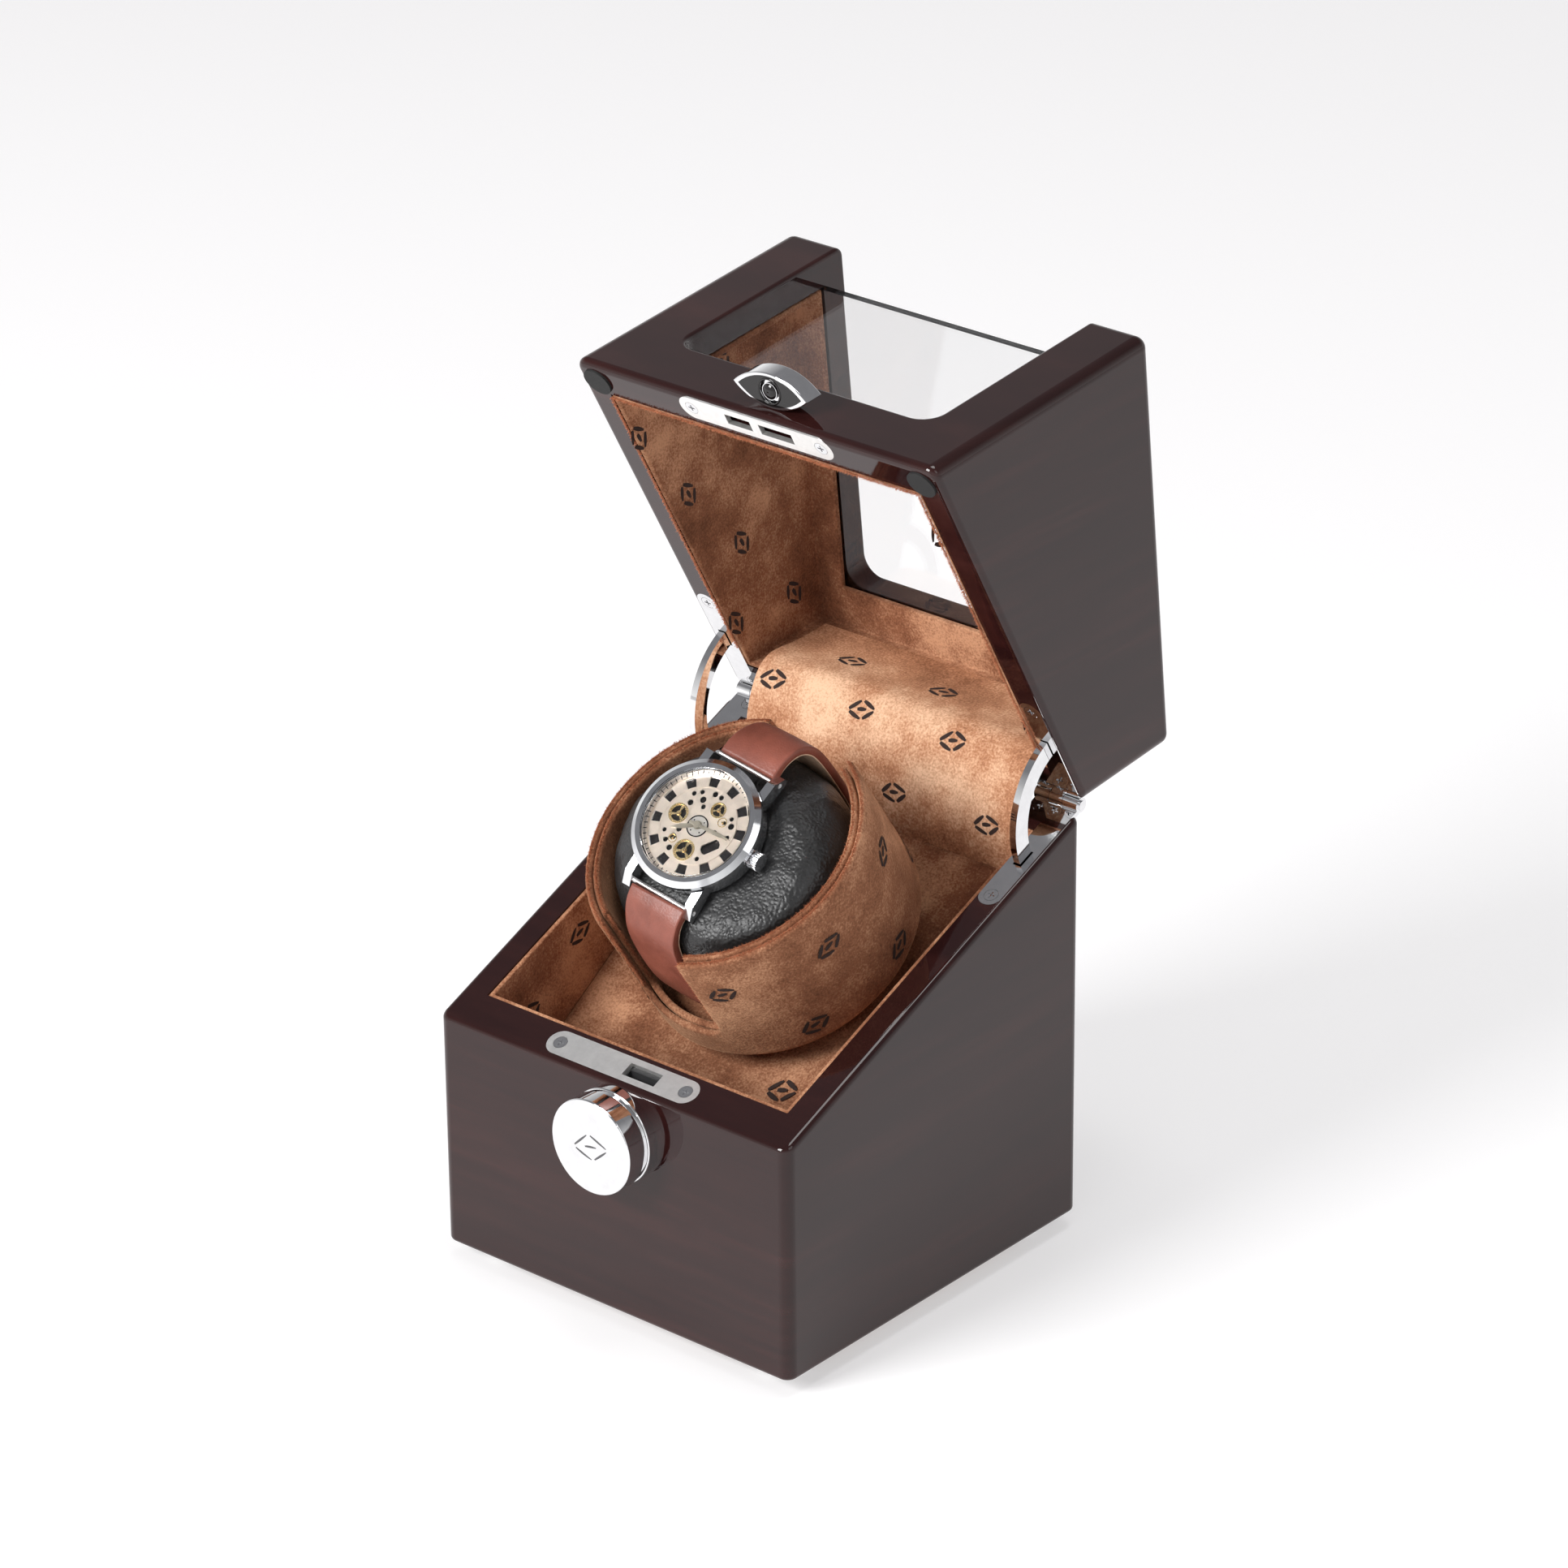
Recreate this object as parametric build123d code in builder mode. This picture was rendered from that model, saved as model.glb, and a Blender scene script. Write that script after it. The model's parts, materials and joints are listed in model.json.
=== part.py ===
from build123d import *
import os
from math import cos, pi, radians, sin, tan

# A single-watch winder box: a lacquered wooden base with a sloped rim, a lid that opens
# on two quadrant hinges, and a velvet drum that a geared motor turns under a watch.
# Frame: origin at the centre of the wooden underside, +X to the right, -Y to the front,
# +Z up. The lid is built closed and then swung open, which is the rest position.

# ---------------------------------------------------------------- driving dimensions
box_width = 130.0
box_depth = 130.0
front_height = 73.3
rim_slope = 22.85
closed_height = 169.5
lid_open = 84.0
rim_gap = 0.8

side_wall = 9.0
front_wall = 11.0
rear_wall = 10.0
lid_panel = 9.0
bottom_thickness = 5.0
corner_radius = 3.5
rim_radius = 2.0
base_edge_radius = 1.5
lid_edge_radius = 3.0

lining_thickness = 1.5
lining_setback = 0.3
pane_thickness = 1.5
pane_overlap = 4.0
window_side = 19.5
window_sill = 96.5
window_rear = 24.0
window_radius = 6.5
window_edge = 1.2
window_frame = 2.0

foot_height = 5.0
foot_radius = 8.0
foot_inset = 14.0
foot_pad_radius = 5.5
foot_pad_proud = 0.8
block_length = 34.0
block_width = 13.0
block_height = 9.0
block_screw_inset = 24.0

# Drum, measured along its own axis from the plane of its rim.
drum_rim_y = -14.8
drum_rim_z = 129.3
drum_tilt = 56.5
drum_turn = -7.0
drum_radius = 42.4
drum_length = 47.0
drum_floor = 3.0
drum_skin = 2.1
sleeve_gap = 0.3
sleeve_thickness = 2.2
notch_width = 32.0
notch_depth = 36.0
notch_radius = 5.0
hub_radius = 8.0

panel_drop = 55.2
panel_thickness = 4.0
shaft_radius = 2.5
running_clearance = 0.05
seat_gap = 0.02
bush_radius = 5.0
gear_module = 1.0
gear_teeth = 36
pinion_teeth = 12
gear_width = 4.5
gear_drop = 63.5
mesh_clearance = 0.15
bridge_drop = 70.5
bridge_thickness = 2.0
post_radius = 3.0
motor_radius = 12.0
motor_length = 30.0
motor_shaft_radius = 1.5

cushion_side = 37.2
cushion_end = 33.6
cushion_top = 5.5
cushion_bottom = -38.6
cushion_round = 13.0
cushion_foot_round = 11.0
buckle_wall = 0.8
soft_clearance = 0.3

# Watch, measured along its own axis from the top of its bezel.
watch_shift = -4.3
watch_rise = 14.8
watch_tip = 9.6
watch_lean = 8.0
bezel_radius = 19.6
bezel_height = 2.6
case_radius = 18.6
case_height = 9.2
dial_radius = 16.6
dial_depth = 3.6
dial_thickness = 0.4
crystal_height = 1.6
lug_reach = 24.0
lug_width = 2.7
strap_width = 19.6
strap_thickness = 2.2
lug_bar_reach = 21.6
lug_bar_depth = 6.4
lug_bar_radius = 0.8
crown_radius = 2.6
crown_length = 3.2
crown_depth = 5.4

# Lock, push button and pull.
lock_plate_length = 55.0
lock_plate_width = 8.6
plate_thickness = 1.5
lock_line = 6.3
lock_screw_pitch = 46.6
lock_slot_x = 7.4
lock_slot_length = 11.8
lock_slot_width = 4.6
keeper_slot_x = -6.2
keeper_slot_length = 9.0
keeper_slot_width = 3.9
latch_length = 10.4
latch_thickness = 2.2
latch_height = 5.6
latch_travel = 4.5
lock_body_width = 34.0
lock_body_thickness = 7.6
lock_body_bottom = 46.0
button_x = 3.0
button_z = 58.5
button_radius = 14.5
button_thickness = 6.0
button_gap = 2.2
button_travel = 2.0
collar_thickness = 3.4
neck_radius = 13.5
stem_radius = 3.5
spring_radius = 5.2
spring_wire = 0.35
pull_x = 3.5
pull_z = 79.5
pull_length = 26.5
pull_depth = 10.8
pull_height = 6.4
bumper_radius = 4.6
bumper_proud = 0.7
bumper_inset_x = 6.6
bumper_line = 7.6

# Quadrant hinges.
hinge_setback = 1.6
hinge_line = 5.3
leaf_width = 7.4
leaf_start = 100.0
leaf_foot = 8.0
leaf_foot_reach = 15.2
knuckle_radius = 2.3
pin_radius = 1.0
knuckle_clearance = 0.3
arm_inner = 21.0
arm_outer = 26.4
arm_thickness = 2.2
arm_bury = 6.0
arm_slack = 0.4
screw_head_radius = 2.1
screw_head_height = 1.1
screw_shank_radius = 1.0
screw_length = 8.0

# Rear control plate.
plate_width = 66.0
plate_height = 30.0
plate_z = 25.0
plate_radius = 7.0
jack_x = 17.0
jack_hole = 4.0
knob_x = -15.0
knob_radius = 7.5
knob_height = 8.0
knob_stem_radius = 3.0

flap_half_width = 49.5
flap_thickness = 1.0

# ---------------------------------------------------------------- derived places
half_width = box_width / 2
half_depth = box_depth / 2
slope = radians(rim_slope)
rear_height = front_height + box_depth * tan(slope)
inner_x = half_width - side_wall
inner_front = -half_depth + front_wall
inner_rear = half_depth - rear_wall
lid_front_face = -half_depth + lid_panel
lid_top_face = closed_height - lid_panel
tall = closed_height + 60.0

rim_plane = Plane(
    origin=(0, -half_depth, front_height), x_dir=(1, 0, 0), z_dir=(0, -sin(slope), cos(slope))
)
lid_rim_plane = rim_plane.offset(rim_gap)
hinge_reach = (box_depth + hinge_setback + rim_gap / 2 * sin(slope)) / cos(slope)
hinge_point = rim_plane.from_local_coords(Vector(0, hinge_reach, rim_gap / 2))
hinge_axis = Axis(hinge_point, (1, 0, 0))

tilt = radians(drum_tilt)
drum_centre = Vector(0, drum_rim_y, drum_rim_z)
drum_dir = Vector(0, -cos(tilt), sin(tilt))
bay_plane = Plane(origin=drum_centre, x_dir=(1, 0, 0), z_dir=drum_dir)
turn = radians(drum_turn)
drum_x = Vector(cos(turn), sin(turn) * sin(tilt), sin(turn) * cos(tilt))
drum_plane = Plane(origin=drum_centre, x_dir=drum_x, z_dir=drum_dir)
drum_axis = Axis(drum_centre, drum_dir)
across_plane = Plane(origin=drum_centre, x_dir=drum_plane.x_dir, z_dir=drum_plane.y_dir)
strap_plane = Plane(origin=drum_centre, x_dir=drum_plane.y_dir, z_dir=drum_plane.x_dir)
panel_plane = bay_plane.offset(-panel_drop)
sleeve_outer = drum_radius - drum_skin - sleeve_gap
sleeve_inner = sleeve_outer - sleeve_thickness
pitch_radius = gear_module * gear_teeth / 2
pinion_radius = gear_module * pinion_teeth / 2
gear_centres = pitch_radius + pinion_radius + mesh_clearance

watch_place = Location((0, watch_shift, watch_rise), (watch_tip, watch_lean, 0))
watch_plane = Plane(drum_plane.location * watch_place)
watch_axis = Axis(watch_plane.origin, watch_plane.z_dir)
crown_plane = Plane(
    origin=watch_plane.from_local_coords(Vector(0, 0, -crown_depth)),
    x_dir=watch_plane.y_dir,
    z_dir=watch_plane.x_dir,
)

leaf_x = half_width - hinge_line
front_plane = Plane(origin=(0, -half_depth, 0), x_dir=(1, 0, 0), z_dir=(0, -1, 0))
rear_plane = Plane(origin=(0, half_depth, 0), x_dir=(-1, 0, 0), z_dir=(0, 1, 0))

os.makedirs("parts", exist_ok=True)


# ---------------------------------------------------------------- helpers
def block(x_span, y_span, z_span, mode=Mode.ADD):
    """Add or cut a block given by its low and high limits on each axis."""
    spans = (x_span, y_span, z_span)
    centre = Vector(*[(low + high) / 2 for low, high in spans])
    sizes = [high - low for low, high in spans]
    with Locations(centre):
        Box(*sizes, mode=mode)


def save(piece, name):
    """Label a finished piece and write it as its own node."""
    piece.label = name
    export_step(piece, f"parts/{name}.step")


def opened(piece):
    """Swing a piece of the closed lid to the open rest position."""
    return piece.rotate(hinge_axis, -lid_open)


def screws(places):
    """Countersunk cross-head screws, each with its head flush with its plane."""
    with BuildPart(mode=Mode.PRIVATE) as group:
        for place in places:
            with BuildSketch(place):
                Circle(screw_head_radius)
            extrude(amount=-screw_head_height)
            with BuildSketch(place):
                Circle(screw_shank_radius)
            extrude(amount=-screw_length)
            with BuildSketch(place):
                Rectangle(screw_head_radius * 1.1, 0.5)
                Rectangle(0.5, screw_head_radius * 1.1)
            extrude(amount=-screw_head_height / 2, mode=Mode.SUBTRACT)
    return group.part


def screw_holes(places):
    """The room that the same screws take out of what they hold."""
    with BuildPart(mode=Mode.PRIVATE) as group:
        for place in places:
            with BuildSketch(place):
                Circle(screw_head_radius + 0.1)
            extrude(amount=-screw_head_height)
            with BuildSketch(place):
                Circle(screw_shank_radius)
            extrude(amount=-screw_length)
    return group.part


def at_rim(plane, x, along):
    """A plane on a rim, at a place across and along it."""
    return Plane(
        origin=plane.from_local_coords(Vector(x, along, 0)), x_dir=plane.x_dir, z_dir=plane.z_dir
    )


def facing_down(plane):
    """The same place with its face turned to the lower side."""
    return Plane(origin=plane.origin, x_dir=plane.x_dir, z_dir=-plane.z_dir)


def ring_sector(x_low, x_high, inner, outer, start, end):
    """A flat ring sector about the hinge axis, between two angles measured from the rear."""
    section = Plane(origin=(x_low, hinge_point.Y, hinge_point.Z), x_dir=(0, 1, 0), z_dir=(1, 0, 0))
    with BuildPart(mode=Mode.PRIVATE) as sector:
        with BuildSketch(section):
            with BuildLine():
                JernArc((inner * cos(start), inner * sin(start)), (-sin(start), cos(start)),
                        inner, (end - start) * 180 / pi)
                JernArc((outer * cos(start), outer * sin(start)), (-sin(start), cos(start)),
                        outer, (end - start) * 180 / pi)
                Line((inner * cos(start), inner * sin(start)), (outer * cos(start), outer * sin(start)))
                Line((inner * cos(end), inner * sin(end)), (outer * cos(end), outer * sin(end)))
            make_face()
        extrude(amount=x_high - x_low)
    return sector.part


def knuckle(x_low, x_high, radius):
    """A stretch of the hinge barrel."""
    section = Plane(origin=(x_low, hinge_point.Y, hinge_point.Z), x_dir=(0, 1, 0), z_dir=(1, 0, 0))
    with BuildPart(mode=Mode.PRIVATE) as barrel:
        with BuildSketch(section):
            Circle(radius)
        extrude(amount=x_high - x_low)
    return barrel.part


def gear(plane, teeth, bore, first_angle):
    """A spur gear with straight-sided teeth, its first tooth at first_angle degrees."""
    pitch = gear_module * teeth / 2
    root = pitch - 1.15 * gear_module
    tip = pitch + 0.85 * gear_module
    with BuildPart(mode=Mode.PRIVATE) as wheel:
        with BuildSketch(plane):
            Circle(root)
            with PolarLocations(0, teeth, start_angle=first_angle):
                Polygon(
                    (root - 0.4, -1.05 * gear_module),
                    (tip, -0.3 * gear_module),
                    (tip, 0.3 * gear_module),
                    (root - 0.4, 1.05 * gear_module),
                    align=None,
                )
            Circle(bore, mode=Mode.SUBTRACT)
        extrude(amount=-gear_width)
    return wheel.part


# ---------------------------------------------------------------- shared screw places
lock_screw_xs = (-lock_screw_pitch / 2, lock_screw_pitch / 2)
base_lock_places = [at_rim(rim_plane, x, lock_line) for x in lock_screw_xs]
lid_lock_places = [facing_down(at_rim(lid_rim_plane, x, lock_line)) for x in lock_screw_xs]
leaf_end = hinge_reach - 1.7
leaf_foot_line = leaf_end - leaf_foot / 2
leaf_screw_spots = (
    (leaf_x, leaf_start + leaf_width / 2),
    (leaf_x - 2.5, leaf_foot_line + 1.2),
    (leaf_x - 7.7, leaf_foot_line + 1.2),
)


def leaf_places(plane, side):
    """The three screw places of one hinge leaf."""
    return [at_rim(plane, side * x, along) for x, along in leaf_screw_spots]


base_leaf_places = leaf_places(rim_plane, 1) + leaf_places(rim_plane, -1)
lid_leaf_places = [facing_down(p) for p in leaf_places(lid_rim_plane, 1) + leaf_places(lid_rim_plane, -1)]

rim_angle = pi + slope
swing = radians(lid_open)
bury = radians(arm_bury)
extra = radians(2.5)


def arm_room(side, start, end):
    """The slot that a stay arm slides in, with slack all round."""
    low = side * leaf_x - arm_thickness / 2 - arm_slack
    high = side * leaf_x + arm_thickness / 2 + arm_slack
    return ring_sector(low, high, arm_inner - arm_slack, arm_outer + arm_slack, start, end)


base_arm_rooms = [arm_room(s, rim_angle - extra, rim_angle + swing / 2 + bury + extra) for s in (1, -1)]
lid_arm_rooms = [arm_room(s, rim_angle - swing / 2 - bury - extra, rim_angle + extra) for s in (1, -1)]


# ---------------------------------------------------------------- hinges
def leaf_plate(plane, side, thickness):
    """An L-shaped leaf: a long leg on the side rim and a short leg on the rear rim."""
    long_middle = (leaf_start + leaf_end) / 2
    foot_inner = leaf_x + leaf_width / 2 - leaf_foot_reach
    with BuildPart(mode=Mode.PRIVATE) as plate:
        with BuildSketch(plane):
            with Locations((side * leaf_x, long_middle)):
                Rectangle(leaf_width, leaf_end - leaf_start)
            fillet(vertices().group_by(Axis.Y)[0], leaf_width / 2 - 0.1)
            with Locations((side * (foot_inner + leaf_foot_reach / 2), leaf_foot_line)):
                Rectangle(leaf_foot_reach, leaf_foot)
        extrude(amount=thickness)
    return plate.part


barrel_low = leaf_x + leaf_width / 2 - leaf_foot_reach
barrel_high = leaf_x + leaf_width / 2
barrel_third = (barrel_high - barrel_low) / 3
base_spans = ((barrel_low, barrel_low + barrel_third), (barrel_high - barrel_third, barrel_high))
lid_span = (barrel_low + barrel_third + 0.15, barrel_high - barrel_third - 0.15)
clear_radius = knuckle_radius + knuckle_clearance


def sided(span, side):
    """A span of X on the right, or its mirror image on the left."""
    return tuple(sorted((side * span[0], side * span[1])))


for side, side_name in ((1, "right"), (-1, "left")):
    with BuildPart() as base_leaf:
        add(leaf_plate(rim_plane, side, -plate_thickness))
        add(knuckle(*sided(lid_span, side), clear_radius), mode=Mode.SUBTRACT)
        for span in base_spans:
            add(knuckle(*sided(span, side), knuckle_radius))
        add(knuckle(*sided((barrel_low, barrel_high), side), pin_radius), mode=Mode.SUBTRACT)
        add(screw_holes(base_leaf_places), mode=Mode.SUBTRACT)
        for room in base_arm_rooms:
            add(room, mode=Mode.SUBTRACT)
    save(base_leaf.part, f"hinge_base_leaf_{side_name}")

    with BuildPart() as lid_leaf:
        add(leaf_plate(lid_rim_plane, side, plate_thickness))
        for span in base_spans:
            add(knuckle(*sided((span[0] - 0.15, span[1] + 0.15), side), clear_radius), mode=Mode.SUBTRACT)
        add(knuckle(*sided(lid_span, side), knuckle_radius))
        pin_room = pin_radius + running_clearance
        add(knuckle(*sided((barrel_low, barrel_high), side), pin_room), mode=Mode.SUBTRACT)
        add(screw_holes(lid_leaf_places), mode=Mode.SUBTRACT)
        for room in lid_arm_rooms:
            add(room, mode=Mode.SUBTRACT)
    save(opened(lid_leaf.part), f"hinge_lid_leaf_{side_name}")

    arm_low = side * leaf_x - arm_thickness / 2
    stay_arm = ring_sector(
        arm_low, arm_low + arm_thickness, arm_inner, arm_outer, rim_angle - swing - bury, rim_angle + bury
    )
    save(stay_arm, f"stay_arm_{side_name}")

with BuildPart() as hinge_pins:
    for side in (1, -1):
        add(knuckle(*sided((barrel_low, barrel_high), side), pin_radius))
        for end in (barrel_low - 0.6, barrel_high):
            add(knuckle(*sided((end, end + 0.6), side), pin_radius * 1.5))
save(hinge_pins.part, "hinge_pins")

# ---------------------------------------------------------------- base box
collar_front = -half_depth - collar_thickness
cap_rear = collar_front - button_gap
cap_front = cap_rear - button_thickness
cap_inside = cap_front + 2.2
lock_y = -half_depth + lock_line * cos(slope)
lock_body_y = (lock_y - lock_body_thickness / 2, lock_y + lock_body_thickness / 2)
lock_body_x = (-lock_body_width / 2 + lock_slot_x, lock_body_width / 2 + lock_slot_x)
button_place = Plane(origin=(button_x, 0, button_z), x_dir=(1, 0, 0), z_dir=(0, -1, 0))
knuckle_relief = clear_radius + 0.3

with BuildPart() as lock_room:
    block(lock_body_x, lock_body_y, (lock_body_bottom, rear_height))
    split(bisect_by=rim_plane.offset(-plate_thickness), keep=Keep.BOTTOM)

with BuildPart() as base_shell:
    with BuildSketch(Plane.YZ):
        with BuildLine():
            Polyline(
                (-half_depth, 0),
                (half_depth, 0),
                (half_depth, rear_height),
                (-half_depth, front_height),
                close=True,
            )
        make_face()
    extrude(amount=half_width, both=True)
    fillet(edges().filter_by(Axis.Z), corner_radius)
    fillet(faces().sort_by(Axis.Z)[-1].edges(), rim_radius)
    fillet(faces().sort_by(Axis.Z)[0].edges(), base_edge_radius)
    block((-inner_x, inner_x), (inner_front, inner_rear), (-1, tall), Mode.SUBTRACT)
    # Recesses for the leaves, their barrels and the arms.
    for side in (1, -1):
        add(leaf_plate(rim_plane, side, -plate_thickness), mode=Mode.SUBTRACT)
        relief = sided((barrel_low - 1.0, barrel_high + 0.4), side)
        add(knuckle(*relief, knuckle_relief), mode=Mode.SUBTRACT)
    for room in base_arm_rooms:
        add(room, mode=Mode.SUBTRACT)
    add(screw_holes(base_leaf_places + base_lock_places), mode=Mode.SUBTRACT)
    # Recess for the lock plate, room for the lock body and the hole for the button's stem.
    with BuildSketch(at_rim(rim_plane, 0, lock_line)):
        SlotOverall(lock_plate_length, lock_plate_width)
    extrude(amount=-plate_thickness, mode=Mode.SUBTRACT)
    add(lock_room.part, mode=Mode.SUBTRACT)
    with BuildSketch(button_place.offset(half_depth)):
        Circle(stem_radius + 0.3)
    extrude(amount=-front_wall / 2, mode=Mode.SUBTRACT)
    # Opening and recess for the control plate at the rear.
    with BuildSketch(rear_plane):
        with Locations((0, plate_z)):
            RectangleRounded(plate_width, plate_height, plate_radius)
    extrude(amount=-plate_thickness, mode=Mode.SUBTRACT)
    with BuildSketch(rear_plane):
        with Locations((0, plate_z)):
            RectangleRounded(plate_width - 8, plate_height - 8, plate_radius - 3)
    extrude(amount=-rear_wall - 1, mode=Mode.SUBTRACT)
    plate_screw_places = [
        Plane(origin=(x, half_depth, plate_z), x_dir=(-1, 0, 0), z_dir=(0, 1, 0))
        for x in (-plate_width / 2 + 4.0, plate_width / 2 - 4.0)
    ]
    add(screw_holes(plate_screw_places), mode=Mode.SUBTRACT)
save(base_shell.part, "base_shell")

with BuildPart() as bottom_plate:
    block((-inner_x, inner_x), (inner_front, inner_rear), (0, bottom_thickness))
    foot_x = half_width - foot_inset
    foot_y = half_depth - foot_inset
    foot_spots = [(x, y) for x in (-foot_x, foot_x) for y in (-foot_y, foot_y)]
    block_lines = (inner_front + block_width / 2, inner_rear - block_width / 2)
    block_spots = [(side, y) for side in (-1, 1) for y in block_lines]
    with Locations(*[(x, y, bottom_thickness / 2) for x, y in foot_spots]):
        Cylinder(2.0, bottom_thickness, mode=Mode.SUBTRACT)
    bottom_screw_places = [
        Plane(origin=(side * (inner_x - block_screw_inset), y, 0), x_dir=(1, 0, 0), z_dir=(0, 0, -1))
        for side, y in block_spots
    ]
    add(screw_holes(bottom_screw_places), mode=Mode.SUBTRACT)
save(bottom_plate.part, "bottom_plate")
save(screws(bottom_screw_places), "bottom_screws")

with BuildPart() as corner_blocks:
    for side, y in block_spots:
        block(
            sided((inner_x - block_length, inner_x), side),
            (y - block_width / 2, y + block_width / 2),
            (bottom_thickness, bottom_thickness + block_height),
        )
    add(screw_holes(bottom_screw_places), mode=Mode.SUBTRACT)
save(corner_blocks.part, "corner_blocks")

with BuildPart() as feet:
    for x, y in foot_spots:
        with BuildSketch(Plane(origin=(x, y, -foot_height + foot_pad_proud))):
            Circle(foot_radius)
        extrude(amount=foot_height - foot_pad_proud)
    fillet(edges().filter_by(GeomType.CIRCLE), 0.6)
    with Locations(*[(x, y, bottom_thickness / 2 - 0.25) for x, y in foot_spots]):
        Cylinder(2.0, bottom_thickness - 0.5)
    with Locations(*[(x, y, -foot_height + foot_pad_proud + 0.5) for x, y in foot_spots]):
        Cylinder(foot_pad_radius, 1.0, mode=Mode.SUBTRACT)
save(feet.part, "feet")

with BuildPart() as foot_pads:
    pad_height = foot_pad_proud + 1.0
    with Locations(*[(x, y, -foot_height + pad_height / 2) for x, y in foot_spots]):
        Cylinder(foot_pad_radius, pad_height)
save(foot_pads.part, "foot_pads")

with BuildPart() as motor_panel:
    with BuildSketch(panel_plane):
        Rectangle(box_width, box_depth * 2)
    extrude(amount=-panel_thickness)
    block((-inner_x, inner_x), (inner_front, inner_rear), (0, tall), Mode.INTERSECT)
    with BuildSketch(panel_plane):
        Circle(bush_radius)
    extrude(amount=-panel_thickness, mode=Mode.SUBTRACT)
save(motor_panel.part, "motor_panel")

with BuildPart() as panel_cleats:
    with BuildSketch(panel_plane.offset(-panel_thickness)):
        for x in (-inner_x + 4, inner_x - 4):
            with Locations((x, 0)):
                Rectangle(8, 84)
    extrude(amount=-8)
    block((-inner_x, inner_x), (inner_front, inner_rear), (0, tall), Mode.INTERSECT)
save(panel_cleats.part, "panel_cleats")

with BuildPart() as base_lining:
    block((-inner_x, inner_x), (inner_front, inner_rear), (0, tall))
    block(
        (-inner_x + lining_thickness, inner_x - lining_thickness),
        (inner_front + lining_thickness, inner_rear - lining_thickness),
        (-1, tall + 1),
        Mode.SUBTRACT,
    )
    split(bisect_by=rim_plane.offset(-lining_setback), keep=Keep.BOTTOM)
    split(bisect_by=panel_plane, keep=Keep.TOP)
save(base_lining.part, "base_lining")

# ---------------------------------------------------------------- lock and push button
with BuildPart() as lock_plate:
    with BuildSketch(at_rim(rim_plane, 0, lock_line)):
        SlotOverall(lock_plate_length, lock_plate_width)
        with Locations((lock_slot_x, 0)):
            Rectangle(lock_slot_length, lock_slot_width, mode=Mode.SUBTRACT)
    extrude(amount=-plate_thickness)
    add(screw_holes(base_lock_places), mode=Mode.SUBTRACT)
save(lock_plate.part, "lock_plate")

lock_top = front_height + (lock_y + half_depth) * tan(slope) - plate_thickness / cos(slope)
latch_bottom = lock_top - latch_height - 1.2
with BuildPart() as lock_body:
    add(lock_room.part)
    add(screw_holes(base_lock_places), mode=Mode.SUBTRACT)
    block(
        (lock_slot_x - latch_length / 2 - 0.3, lock_slot_x + latch_length / 2 + 0.3),
        (lock_y - latch_thickness / 2 - 0.3, lock_y + latch_thickness / 2 + 0.3),
        (latch_bottom - 0.3, tall),
        Mode.SUBTRACT,
    )
    with BuildSketch(button_place.offset(-lock_body_y[0])):
        Circle(stem_radius + 0.3)
    extrude(amount=-lock_body_thickness + 1.0, mode=Mode.SUBTRACT)
save(lock_body.part, "lock_body")

with BuildPart() as latch_bolt:
    block(
        (lock_slot_x - latch_length / 2, lock_slot_x + latch_length / 2),
        (lock_y - latch_thickness / 2, lock_y + latch_thickness / 2),
        (latch_bottom, latch_bottom + latch_height),
    )
    chamfer(faces().sort_by(Axis.Z)[-1].edges().filter_by(Axis.X), 0.6)
save(latch_bolt.part, "latch_bolt")

with BuildPart() as button_collar:
    with BuildSketch(button_place.offset(half_depth)):
        Circle(button_radius)
    extrude(amount=collar_thickness)
    fillet(edges().sort_by(Axis.Y)[0], 0.5)
    with BuildSketch(button_place.offset(-collar_front)):
        Circle(neck_radius)
    extrude(amount=cap_rear - cap_inside + button_gap - 2.4)
    with BuildSketch(button_place.offset(half_depth)):
        Circle(spring_radius + 1.3)
    extrude(amount=-cap_front, mode=Mode.SUBTRACT)
save(button_collar.part, "button_collar")

with BuildPart() as button_cap:
    with BuildSketch(button_place.offset(-cap_rear)):
        Circle(button_radius)
    extrude(amount=button_thickness)
    fillet(edges().sort_by(Axis.Y)[0], 0.5)
    with BuildSketch(button_place.offset(-cap_rear)):
        Circle(neck_radius + 0.35)
    extrude(amount=cap_rear - cap_inside, mode=Mode.SUBTRACT)
    with BuildSketch(button_place.offset(-cap_inside)):
        Circle(stem_radius)
    extrude(amount=-(lock_body_y[1] - 1.4 - button_travel - cap_inside))
save(button_cap.part, "button_cap")

spring_span = -half_depth - cap_inside - 2 * spring_wire - 0.2
with BuildPart() as button_spring:
    with BuildLine():
        coil = Helix(
            pitch=spring_span / 5,
            height=spring_span,
            radius=spring_radius - spring_wire,
            center=(button_x, cap_inside + spring_wire + 0.1, button_z),
            direction=(0, 1, 0),
        )
    with BuildSketch(Plane(origin=coil @ 0, z_dir=coil % 0)):
        Circle(spring_wire)
    sweep()
save(button_spring.part, "button_spring")

# ---------------------------------------------------------------- rear controls
control_plane = rear_plane.offset(-plate_thickness)
with BuildPart() as control_plate:
    with BuildSketch(control_plane):
        with Locations((0, plate_z)):
            RectangleRounded(plate_width - 0.4, plate_height - 0.4, plate_radius)
        with Locations((-jack_x, plate_z)):
            Circle(jack_hole, mode=Mode.SUBTRACT)
        with Locations((-knob_x, plate_z)):
            Circle(knob_stem_radius + running_clearance, mode=Mode.SUBTRACT)
    extrude(amount=plate_thickness)
    add(screw_holes(plate_screw_places), mode=Mode.SUBTRACT)
save(control_plate.part, "control_plate")
save(screws(base_leaf_places + base_lock_places + plate_screw_places), "base_screws")

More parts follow.
